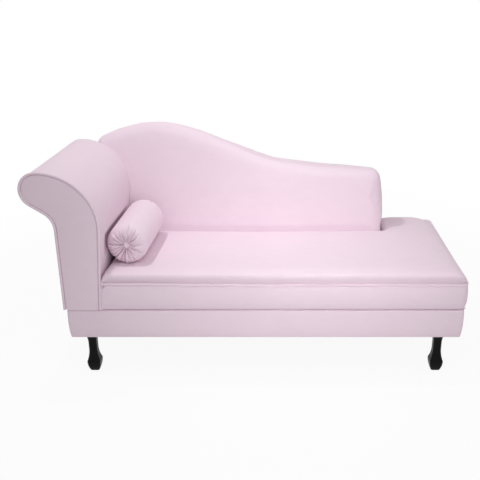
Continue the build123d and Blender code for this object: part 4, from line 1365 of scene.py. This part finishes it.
@dataclass
class Seat:
    """The long seat: a crowned top, a puffed border under its piping, and soft creases at arm and back."""

    rake: Rake
    arm: Arm
    board_inset: float = 0.0026
    board_cut: float = 0.002
    crown_front: float = 0.038
    crown_right: Span = (0.058, 0.105)
    crown_rear: float = 0.130
    crown_steps: tuple[float, ...] = (0.0, 0.235, 0.44, 0.618, 0.765, 0.868, 0.941, 0.985, 1.0)
    crown_falls: tuple[float, ...] = (0.0, 0.010, 0.028, 0.060, 0.115, 0.21, 0.35, 0.62, 1.0)
    crown_outs: tuple[float, ...] = (0.0, 0.0, 0.0, 0.0, 0.0008, 0.0015, -0.0005, -0.0050, -0.0120)
    crown_out_width: float = 0.03
    front_rise: float = 0.004
    front_rise_width: float = 0.16
    seam_dip: float = 0.004
    seam_dip_run: Span = (-0.40, 0.3)
    seam_groove: tuple[float, float, float] = (0.0012, 0.003, 0.004)
    end_dip: float = 0.008
    end_dip_width: float = 0.07
    reach_right: float = 0.006
    corner: float = 0.024
    cell: float = 0.011
    edge_lines: tuple[float, ...] = (0.034, 0.026, 0.019, 0.013, 0.008, 0.0045, 0.002, 0.0005, 0.0)
    crease: float = 0.012
    arm_crease: float = 0.024
    gap: float = 0.0006
    sink: float = 0.0025
    sink_run: Span = (0.02, 0.12)
    end_lean: float = math.radians(3.5)
    end_rim: float = 0.032
    end_slip_width: float = 1.6
    end_slip_power: float = 1.5
    border_rows: tuple[float, ...] = (0.035, 0.09, 0.17, 0.28, 0.4, 0.52, 0.64, 0.75, 0.84, 0.91, 0.96, 0.99)
    bulge: float = 0.0050
    bulge_power: float = 0.8
    border_tuck: float = 0.0075
    border_tuck_from: float = 0.70
    border_tuck_power: float = 2.2
    border_groove: Span = (0.0020, 0.09)
    hang: float = 0.003
    underside: Span = (0.003, 0.0003)
    held_foot: float = 0.006
    held_tucked: float = 0.006
    held_seam: Span = (0.002, 0.006)
    held_crown: float = 0.016
    held_plan: float = 0.03
    held_arm: float = 0.004
    stuffing: Stuffing = Stuffing(pressure=3.0, cap=0.0045)

    def __post_init__(self) -> None:
        """Read the seat's lines from the frame and lay out the grid of its top."""
        low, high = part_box("seat_border")
        self.front, self.rear, self.right = low.y, high.y, high.x + self.reach_right
        self.bottom = low.z - self.hang
        self.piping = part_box("seat_top_cover")[0].z
        self.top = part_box("seat_top_cover")[1].z
        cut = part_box("back_board")[0].y + self.board_cut
        self.end_foot = outline_of("back_board", cut, self.board_inset)[0]
        self.left = self.arm.inner_x(self.top, self.front) + self.gap
        self.end = self.end_x(self.top) + self.gap
        self.back = self.rake.y(self.top, -self.gap)
        before_end = self.lines(self.left, self.end, False)
        before_back = self.lines(-self.back, -self.front, True)[::-1] * -1.0
        self.xs = np.concatenate([before_end, self.lines(self.end, self.right, True)[1:]])
        self.ys = np.concatenate([before_back, self.lines(self.back, self.rear, True)[1:]])
        self.split_x, self.split_y = len(before_end) - 1, len(before_back) - 1

    def end_x(self, z: float) -> float:
        """Where the foot end of the back stands at a height."""
        return float(self.end_foot[0]) - (z - float(self.end_foot[1])) * math.tan(self.end_lean)

    def lines(self, start: float, stop: float, fine: bool) -> np.ndarray:
        """Grid lines between two places, closer together beside a piped edge.

        Args:
            start: first line.
            stop: last line.
            fine: whether the last lines close up towards the stop.

        Returns:
            The places of the lines.
        """
        edge = np.array(self.edge_lines) if fine else np.array([0.0])
        room = stop - start - edge[0]
        plain = np.linspace(0, room, max(2, round(room / self.cell)) + 1)
        return np.concatenate([start + plain, stop - edge[1:]])

    def dip(self, x: np.ndarray | float) -> np.ndarray | float:
        """How far the piped seam hangs down at a place along the seat."""
        start, run = self.seam_dip_run
        return self.seam_dip * ease((x - start) / run)

    def crown(self, x: np.ndarray, y: np.ndarray) -> tuple[np.ndarray, np.ndarray]:
        """The crown's fall below the top and how far its front stands out, at places in plan."""
        into = np.clip(1 - (y - self.front) / self.crown_front, 0, 1)
        wide = np.interp(y, (self.front, self.rear), self.crown_right)
        into_right = np.clip(1 - (self.right - x) / wide, 0, 1)
        into_rear = np.clip(1 - (self.rear - y) / self.crown_rear, 0, 1)
        side = np.minimum(np.hypot(into_right, into_rear), 1.0)
        left_up = np.sqrt(1 - side**2) * (1 - np.interp(into, self.crown_steps, self.crown_falls))
        height = self.top - self.piping + self.dip(x)
        rise = self.front_rise * ease(1 - (y - self.front) / self.front_rise_width)
        return height - (height + rise) * left_up, np.interp(into, self.crown_steps, self.crown_outs)

    def rounded(self, x: np.ndarray, y: np.ndarray) -> tuple[np.ndarray, np.ndarray]:
        """Round the two corners of the foot end in plan."""
        from_right = self.right - x
        for edge, sign in ((self.front, 1.0), (self.rear, -1.0)):
            from_edge = (y - edge) * sign
            ring = np.minimum(from_right, from_edge)
            radius = np.maximum(self.corner - ring, 0.0)
            run = np.abs(from_right - from_edge)
            inside = (run < radius) & (ring < self.corner)
            share = run / np.maximum(radius, TINY)
            first = np.where(from_right <= from_edge, 1.0, -1.0)
            angle = math.pi / 4 - first * (math.pi / 4) * share
            new_right = ring + radius * (1 - np.cos(angle))
            new_edge = ring + radius * (1 - np.sin(angle))
            from_right = np.where(inside, new_right, from_right)
            y = np.where(inside, edge + sign * new_edge, y)
        return self.right - from_right, y

    def quarter_round(self, away: np.ndarray, radius: float) -> np.ndarray:
        """How far a quarter-round crease falls at a distance from it."""
        held = np.clip(away, 0, radius)
        return radius - np.sqrt(radius**2 - (radius - held) ** 2)

    def heights(self, x: np.ndarray, y: np.ndarray) -> np.ndarray:
        """The level of the top at places in plan, with its crown, creases and hollow."""
        beside_arm = np.where(y <= self.back + TINY, x - self.left, np.inf)
        before_back = np.where(x <= self.end + TINY, self.back - y, np.inf)
        beside_end = np.where(y >= self.back - TINY, x - self.end, np.inf)
        past_corner = (x > self.end) & (y < self.back)
        off_corner = np.where(past_corner, np.hypot(x - self.end, self.back - y), np.inf)
        off_back = np.minimum.reduce([before_back, beside_end, off_corner])
        drop = self.crown(x, y)[0] + self.quarter_round(off_back, self.crease)
        drop = drop + self.end_dip * np.clip(1 - beside_end / self.end_dip_width, 0, 1) ** 2
        drop = drop + self.quarter_round(beside_arm, self.arm_crease)
        inner = self.inside_edge(x, y)
        depth, middle, width = self.seam_groove
        groove = depth * np.clip(1 - np.abs(inner - middle) / width, 0, 1)
        start, run = self.sink_run
        return self.top - drop - groove - self.sink * ease((inner - start) / run)

    def inside_edge(self, x: np.ndarray, y: np.ndarray) -> np.ndarray:
        """How far places in plan lie inside the piped edge."""
        return np.minimum.reduce([y - self.front, self.right - x, self.rear - y])

    def plan(self, x: np.ndarray, y: np.ndarray) -> tuple[np.ndarray, np.ndarray, np.ndarray]:
        """Move the grid's places in plan to the seat's real outline.

        Args:
            x: the grid's places along the seat.
            y: the grid's places across it.

        Returns:
            The new places along and across, and how far the front was moved out.
        """
        swell = self.crown(x, y)[1]
        slip = np.hypot(x - self.end, y - self.back) / (self.end_slip_width * self.end_rim)
        slip = np.clip(1 - slip, 0, 1) ** self.end_slip_power
        slip = slip * self.end_rim * (math.sqrt(2) - 1) / math.sqrt(2)
        x, y = self.rounded(x, y)
        stand_out = swell * ease(1 - (y - self.front) / self.crown_out_width)
        y = y - stand_out
        x = x + self.arm.turned(y) * np.clip((self.end - x) / (self.end - self.left), 0, 1)
        return x - slip, y + slip, stand_out

    def edge_loop(self) -> tuple[list[tuple[int, int]], tuple[int, int, int]]:
        """The grid's edge, and the numbers at which it turns along the back's end, the back and the arm."""
        last_x, last_y = len(self.xs) - 1, len(self.ys) - 1
        loop = [(i, 0) for i in range(last_x)]
        loop += [(last_x, j) for j in range(last_y)]
        loop += [(i, last_y) for i in range(last_x, self.split_x, -1)]
        at_end = len(loop) + 1
        loop += [(self.split_x, j) for j in range(last_y, self.split_y, -1)]
        at_back = len(loop)
        loop += [(i, self.split_y) for i in range(self.split_x, 0, -1)]
        at_arm = len(loop)
        loop += [(0, j) for j in range(self.split_y, 0, -1)]
        return loop, (at_end, at_back, at_arm)

    def border(self) -> list[Span]:
        """The border's side view, as shares of its height from the piping down, and how far it stands out."""
        rows = []
        deep, height = self.border_groove
        for share in self.border_rows:
            out = self.bulge * math.sin(math.pi * share) ** self.bulge_power
            low = max(0.0, (share - self.border_tuck_from) / (1 - self.border_tuck_from))
            tuck = self.border_tuck * low**self.border_tuck_power
            groove = deep * max(0.0, 1 - share / height)
            rows.append((share, out - tuck - groove))
        return rows

    def skirt(self, edge: np.ndarray, drawn_in: np.ndarray, turns: tuple[int, int, int]) -> list[np.ndarray]:
        """Rings from the top's edge down the border, and one just inside its foot.

        Args:
            edge: points of the top's edge.
            drawn_in: how far the front of the edge was moved out, less than 0 where it was drawn in.
            turns: the numbers at which the edge turns along the back's end, the back and the arm.

        Returns:
            The rings, with the edge first.
        """
        at_end, at_back, at_arm = turns
        along = np.roll(edge, -1, axis=0) - np.roll(edge, 1, axis=0)
        out = np.stack([along[:, 1], -along[:, 0]], axis=1)
        out /= np.linalg.norm(out, axis=1, keepdims=True)
        out[0] = (0.0, -1.0)
        out[at_end - 1] = (0.0, 1.0)
        out[at_end:] = 0.0
        lean = np.zeros((len(edge), 2))
        lean[at_end:at_back, 0] = -math.tan(self.end_lean)
        lean[at_back:at_arm, 1] = math.tan(self.rake.angle)
        lean[at_arm:, 0] = math.tan(self.arm.lean)
        lean[0, 0] = math.tan(self.arm.lean)
        rings = [edge]
        for share, stand in self.border():
            ring = edge.copy()
            ring[:, 2] = edge[:, 2] + (self.bottom - edge[:, 2]) * share
            ring[:, :2] += out * stand + lean * (ring[:, 2] - edge[:, 2])[:, None]
            ring[:, 1] += drawn_in
            rings.append(ring)
        inset, lift = self.underside
        foot = rings[-1].copy()
        foot[:, 2] = self.bottom + lift
        foot[:, :2] -= out * inset
        return rings + [foot]

    def span(self, form: Form, numbers: np.ndarray) -> None:
        """Span the three rectangles of a grid that the back leaves free."""
        form.net(numbers[: self.split_x + 1, : self.split_y + 1])
        form.net(numbers[self.split_x :, : self.split_y + 1])
        form.net(numbers[self.split_x :, self.split_y :])

    def held(self, points: np.ndarray) -> np.ndarray:
        """How firmly each point is held while the form swells, most at seams and tucked edges."""
        reach, fade = self.held_seam
        seam = self.piping - self.dip(points[:, 0])
        inner = self.inside_edge(points[:, 0], points[:, 1])
        held = np.zeros(len(points))
        held[points[:, 2] < self.bottom + self.held_foot] = 1.0
        held = np.maximum(held, 1 - ease((np.abs(points[:, 2] - seam) - reach) / fade))
        held[(inner < self.held_crown) & (points[:, 2] > seam)] = 1.0
        held[inner > self.held_plan] = 0.0
        held[(points[:, 2] < self.top - self.held_tucked) & (inner > self.held_plan)] = 1.0
        held[points[:, 0] - self.arm.inner_x(points[:, 2], points[:, 1]) < self.held_arm] = 1.0
        return held

    def build(self, bolster: Bolster) -> None:
        """Make, stuff and dress the seat and its piping.

        Args:
            bolster: the bolster that lies on it.
        """
        grid_x, grid_y = np.meshgrid(self.xs, self.ys, indexing="ij")
        z = self.heights(grid_x, grid_y)
        x, y, stand_out = self.plan(grid_x, grid_y)
        form = Form()
        self.span(form, form.place(np.stack([x, y, z], axis=-1)))
        loop, turns = self.edge_loop()
        edge = np.array([[x[i, j], y[i, j], z[i, j]] for i, j in loop])
        rings = self.skirt(edge, np.array([stand_out[i, j] for i, j in loop]), turns)
        form.net(form.place(np.array(rings)), closed=True)
        first = self.arm.inner_x(self.bottom, self.front)
        along = [self.left, self.end, self.right], [first, self.end_x(self.bottom), self.right]
        across = [self.front, self.back, self.rear], [self.front, self.rake.y(self.bottom), self.rear]
        under_x = np.interp(x, *along)
        under_y = np.interp(y, *across)
        for (i, j), point in zip(loop, rings[-1]):
            under_x[i, j], under_y[i, j] = point[:2]
        under = np.stack([under_x, under_y, np.full_like(x, rings[-1][0, 2])], axis=-1)
        self.span(form, form.place(under))
        piece = form.piece("seat_upholstery", weld=SEAM_WELD)
        self.stuffing.swell(piece, self.held(points_of(piece)))
        subdivide(piece)
        move_points(piece, bolster.push_clear(points_of(piece), self.gap))
        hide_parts("seat_top_cover", "seat_border", "seat_foam")
        finish_piece(piece, SUEDE, FRAME_BODY)
        self.build_piping()

    def build_piping(self) -> None:
        """Lay the cord from the arm round the foot end to the back."""
        cord = Piping("seat_welt", "seat_piping")
        low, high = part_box(cord.node)
        turn = self.corner - CORD_TUCK
        x1 = high.x + self.reach_right - cord.radius
        y0, y1 = low.y + cord.radius, high.y - cord.radius
        quarter = np.linspace(0, math.pi / 2, CORNER_STEPS)
        first = np.stack([x1 - turn + turn * np.sin(quarter), y0 + turn - turn * np.cos(quarter)], axis=1)
        second = np.stack([x1 - turn + turn * np.cos(quarter), y1 - turn + turn * np.sin(quarter)], axis=1)
        end = self.end_x(self.piping) + CORD_TUCK
        plan = evenly(np.vstack([[[low.x, y0]], first, second, [[end, y1]]]), CORD_STEPS)
        cord.build(np.column_stack([plan, (low.z + high.z) / 2 - self.dip(plan[:, 0])]))


# Base


@dataclass
class Base:
    """The fabric band round the base and the dust cover under it."""

    corner: float = 0.010
    side_steps: tuple[int, ...] = (64, 30, 64, 30)
    bend: int = 6
    lower_top: float = 0.003
    draw_in: float = 0.0055
    draw_in_power: float = 5
    puff: float = 0.0012
    lip: float = 0.0135
    lip_inset: float = 0.0077
    lip_steps: int = 9
    reach_right: float = 0.006
    under_run: Rings = ((0.030, 0.0002), (0.020, 0.0002), (0.0095, 0.0003), (0.0079, -0.0010))
    face_rows: tuple[float, ...] = (0.08, 0.14, 0.22, 0.32, 0.42, 0.52, 0.62, 0.72, 0.8, 0.88)
    top_round: Span = (0.0053, 0.007)
    top_steps: int = 7
    inner_top: Rings = ((0.0056, 0.004), (0.0057, 0.03))
    inner_run: Rings = ((0.0062, 0.03), (0.0082, 0.0035), (0.0105, 0.0020), (0.030, 0.0018))
    cells: tuple[int, int] = (56, 26)
    sag: float = 0.004
    sag_power: float = 0.7
    uneven: float = 0.0006
    ripples: Span = (23.0, 3.0)
    flat_at_legs: Span = (0.045, 0.12)
    cloth_lift: float = 0.0006
    cloth_thick: float = 0.0004
    staple: Stitch = Stitch(spacing=0.045, length=0.011, radius=0.0006, wobble=0.05)
    staple_inset: float = 0.006
    staple_lift: float = 0.0001

    def __post_init__(self) -> None:
        """Read the band's box from the frame."""
        self.low, self.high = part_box("base_band")

    def plan(self, inset: float) -> np.ndarray:
        """The rounded outline in plan, drawn in by an inset, with the same count of points for each inset."""
        x0, x1 = self.low.x + inset, self.high.x + self.reach_right - inset
        y0, y1 = self.low.y + inset, self.high.y - inset
        radius = max(self.corner - inset, 0.0)
        corners = np.array([(x0, y0), (x1, y0), (x1, y1), (x0, y1)])
        points = []
        for start, stop, steps in zip(corners, np.roll(corners, -1, axis=0), self.side_steps):
            along = (stop - start) / np.linalg.norm(stop - start)
            inward = np.array([-along[1], along[0]])
            for share in np.linspace(0, 1, steps + 1):
                points.append(start + along * radius + (stop - start - 2 * along * radius) * share)
            middle = stop - along * radius + inward * radius
            for turn in np.linspace(0, math.pi / 2, self.bend + 1)[1:-1]:
                points.append(middle + radius * (along * math.sin(turn) - inward * math.cos(turn)))
        return np.array(points)

    def side_view(self) -> list[Span]:
        """The band cut across: inset from its face, and height, round a closed line."""
        low, high = self.low.z, self.high.z - self.lower_top
        edge = low - self.lip
        tall = high - edge
        view = [(inset, low + above) for inset, above in self.under_run]
        view.append((self.lip_inset, low - self.lip / 2))
        half = (self.lip_inset - self.draw_in) / 2
        for turn in np.linspace(0, math.pi, self.lip_steps):
            view.append((self.draw_in + half * (1 + math.cos(turn)), edge + half * (1 - math.sin(turn))))
        for share in self.face_rows:
            drawn = self.draw_in * (1 - share) ** self.draw_in_power
            view.append((drawn - self.puff * math.sin(math.pi * share), edge + tall * share))
        wide, deep = self.top_round
        for turn in np.linspace(0, math.pi / 2, self.top_steps):
            view.append((wide * (1 - math.cos(turn)), high - deep * (1 - math.sin(turn))))
        view += [(inset, high - below) for inset, below in self.inner_top]
        view += [(inset, low + above) for inset, above in self.inner_run]
        return view

    def build_band(self) -> None:
        """Sweep the band's side view round its plan."""
        rings = []
        for inset, z in self.side_view():
            plan = self.plan(inset)
            rings.append(np.column_stack([plan, np.full(len(plan), z)]))
        rings.append(rings[0])
        form = Form()
        form.net(form.place(np.array(rings)), closed=True)
        piece = form.piece("base_band_fabric")
        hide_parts("base_band", "base_wadding")
        finish_piece(piece, SUEDE, FRAME_BODY)

    def build_dust_cover(self) -> None:
        """A lining cloth stapled under the frame, with a little sag between the legs."""
        low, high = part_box("dust_cover")
        across, deep = self.cells
        u, v = np.meshgrid(np.linspace(0, 1, across + 1), np.linspace(0, 1, deep + 1), indexing="ij")
        hollow = np.sin(math.pi * u) * np.sin(math.pi * v)
        ripple = self.uneven * np.sin(self.ripples[0] * u + self.ripples[1] * v) * hollow
        dip = self.sag * hollow**self.sag_power + ripple
        x, y = low.x + (high.x - low.x) * u, low.y + (high.y - low.y) * v
        near, fade = self.flat_at_legs
        for name in ("leg_front_left", "leg_front_right", "leg_back_left", "leg_back_right"):
            a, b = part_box(name)
            middle = (a + b) / 2
            dip = dip * ease((np.hypot(x - middle.x, y - middle.y) - near) / fade)
        form = Form()
        form.net(form.place(np.stack([x, y, low.z + self.cloth_lift - dip], axis=-1)))
        piece = form.piece("dust_cover_cloth")
        shell = piece.modifiers.new("cloth", "SOLIDIFY")
        shell.thickness = self.cloth_thick
        shell.offset = 0.0
        flatten(piece)
        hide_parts("dust_cover")
        finish_piece(piece, FINISHES[Slot.DARK_CLOTH], FRAME_BODY)

    def build_staples(self) -> None:
        """A row of staples round the dust cover's edge."""
        low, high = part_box("dust_cover")
        x0, x1 = low.x + self.staple_inset, high.x - self.staple_inset
        y0, y1 = low.y + self.staple_inset, high.y - self.staple_inset
        z = low.z + self.staple_lift
        path = np.array([(x0, y0, z), (x1, y0, z), (x1, y1, z), (x0, y1, z)])
        self.staple.row("dust_cover_staples", path, True, Slot.STEEL)

    def build(self) -> None:
        """Make the band, the dust cover and its staples."""
        self.build_band()
        self.build_dust_cover()
        self.build_staples()


def dress_nodes() -> None:
    """Give every node of the frame the material of its slot."""
    slots = {row["node"]: Slot(row["material_slot"]) for row in frame["record"]["subparts"]}
    for name, node in frame["nodes"].items():
        node.data.materials.clear()
        node.data.materials.append(FINISHES[slots[name]].material())


# Studio


@dataclass(frozen=True)
class Lamp:
    """A square soft lamp: side in metres, power in watts, and degrees that its light spreads over."""

    name: str
    size: float
    power: float
    place: tuple[float, float, float]
    aim: tuple[float, float, float]
    spread: float

    def hang(self) -> None:
        """Hang the lamp where the camera doesn't see it."""
        data = bpy.data.lights.new(self.name, "AREA")
        data.shape = "SQUARE"
        data.size = self.size
        data.energy = self.power
        data.spread = math.radians(self.spread)
        lamp = bpy.data.objects.new(self.name, data)
        lamp.location = self.place
        lamp.rotation_euler = (Vector(self.aim) - Vector(self.place)).to_track_quat("-Z", "Y").to_euler()
        bpy.context.scene.collection.objects.link(lamp)
        lamp.visible_camera = False


@dataclass
class Studio:
    """A pale floor, soft light and the camera at the photograph's angle."""

    eye: tuple[float, float, float] = (0.0745, -2.6606, 1.4748)
    pitch: float = math.radians(21.7)
    lens: float = 52.5
    sensor: float = 36.0
    shift: float = -0.0625
    far_clip: float = 200.0
    ambient: float = 0.525
    floor_grey: float = 0.86
    floor_roughness: float = 0.9
    floor_glow: float = 0.93
    near_floor: float = 1.0
    far_floor: float = 2.4
    floor_steps: tuple[float, ...] = (-45.0, -3.0, 3.0, 45.0)
    lamps: tuple[Lamp, ...] = (
        Lamp("key", 0.15, 4.6, (-0.88, 0.21, 3.1), (0.10, -0.05, 0.42), 80.0),
        Lamp("high", 0.6, 2.3, (0.18, -1.0, 2.0), (0.16, 0.2, 0.6), 120.0),
        Lamp("low", 0.8, 0.82, (0.15, -1.5, 0.5), (0.12, 0.0, 0.35), 140.0),
        Lamp("flash", 0.25, 1.05, (0.70, -2.25, 1.35), (0.17, 0.0, 0.45), 45.0),
    )

    def build_camera(self) -> None:
        """Stand the camera in front, looking down a little."""
        data = bpy.data.cameras.new("camera")
        data.lens = self.lens
        data.sensor_width = self.sensor
        data.shift_x = self.shift
        data.clip_end = self.far_clip
        camera = bpy.data.objects.new("camera", data)
        camera.location = self.eye
        camera.rotation_euler = (math.pi / 2 - self.pitch, 0.0, 0.0)
        bpy.context.scene.collection.objects.link(camera)
        bpy.context.scene.camera = camera

    def seen_rays(self, graph: Graph) -> bpy.types.NodeSocket:
        """One for a ray that shows the background: straight, mirrored or let through."""
        rays = graph.add("ShaderNodeLightPath").outputs
        through = graph.math("MAXIMUM", rays["Is Glossy Ray"], rays["Is Transmission Ray"])
        return graph.math("MAXIMUM", rays["Is Camera Ray"], through)

    def build_world(self) -> None:
        """Even light from all round, and white behind the floor."""
        world = bpy.data.worlds.new("studio")
        world.use_nodes = True
        bpy.context.scene.world = world
        graph = Graph(world.node_tree)
        ground = graph.tree.nodes["Background"]
        ground.inputs["Color"].default_value = WHITE
        inputs = {"Value": self.seen_rays(graph), "To Min": self.ambient, "To Max": 1.0}
        level = graph.add("ShaderNodeMapRange", inputs)
        graph.tree.links.new(level.outputs[0], ground.inputs["Strength"])

    def build_floor(self) -> None:
        """A wide pale floor that looks white to the camera and keeps a soft shadow."""
        form = Form()
        x, y = np.meshgrid(self.floor_steps, self.floor_steps, indexing="ij")
        form.net(form.place(np.stack([x, y, np.zeros_like(x)], axis=-1)))
        floor = form.piece("floor")
        made = bpy.data.materials.new("white_floor")
        made.use_nodes = True
        graph = Graph(made.node_tree)
        surface = graph.tree.nodes["Principled BSDF"]
        surface.inputs["Base Color"].default_value = (self.floor_grey, self.floor_grey, self.floor_grey, 1.0)
        surface.inputs["Roughness"].default_value = self.floor_roughness
        glow = graph.add("ShaderNodeEmission", {"Color": WHITE, "Strength": 1.0})
        place = graph.add("ShaderNodeTexCoord").outputs["Object"]
        away = graph.add("ShaderNodeVectorMath", {0: place}, operation="LENGTH").outputs["Value"]
        inputs = {
            "Value": away, "From Min": self.near_floor, "From Max": self.far_floor,
            "To Min": self.floor_glow, "To Max": 1.0,
        }
        white = graph.add("ShaderNodeMapRange", inputs, interpolation_type="SMOOTHSTEP").outputs[0]
        share = graph.math("MULTIPLY", self.seen_rays(graph), white)
        both = graph.add("ShaderNodeMixShader", {0: share, 1: surface.outputs[0], 2: glow.outputs[0]})
        graph.tree.links.new(both.outputs[0], graph.tree.nodes["Material Output"].inputs["Surface"])
        floor.data.materials.append(made)

    def build(self) -> None:
        """Set up the view, the floor and the light."""
        bpy.context.scene.view_settings.view_transform = "Standard"
        self.build_camera()
        self.build_world()
        self.build_floor()
        for lamp in self.lamps:
            lamp.hang()


def main() -> None:
    """Build every piece and set up the picture."""
    logging.basicConfig(level=logging.INFO, format="%(asctime)s %(name)s: %(message)s")
    for make in (nap_group, weave_group, grain_group, cord_tree, stitch_tree):
        make()
    dress_nodes()
    Studio().build()
    rake = Rake()
    bolster = Bolster()
    bolster.build()
    Base().build()
    Back(rake).build()
    arm = Arm(rake)
    arm.build(bolster)
    Seat(rake, arm).build(bolster)


if __name__ == "__main__":
    main()
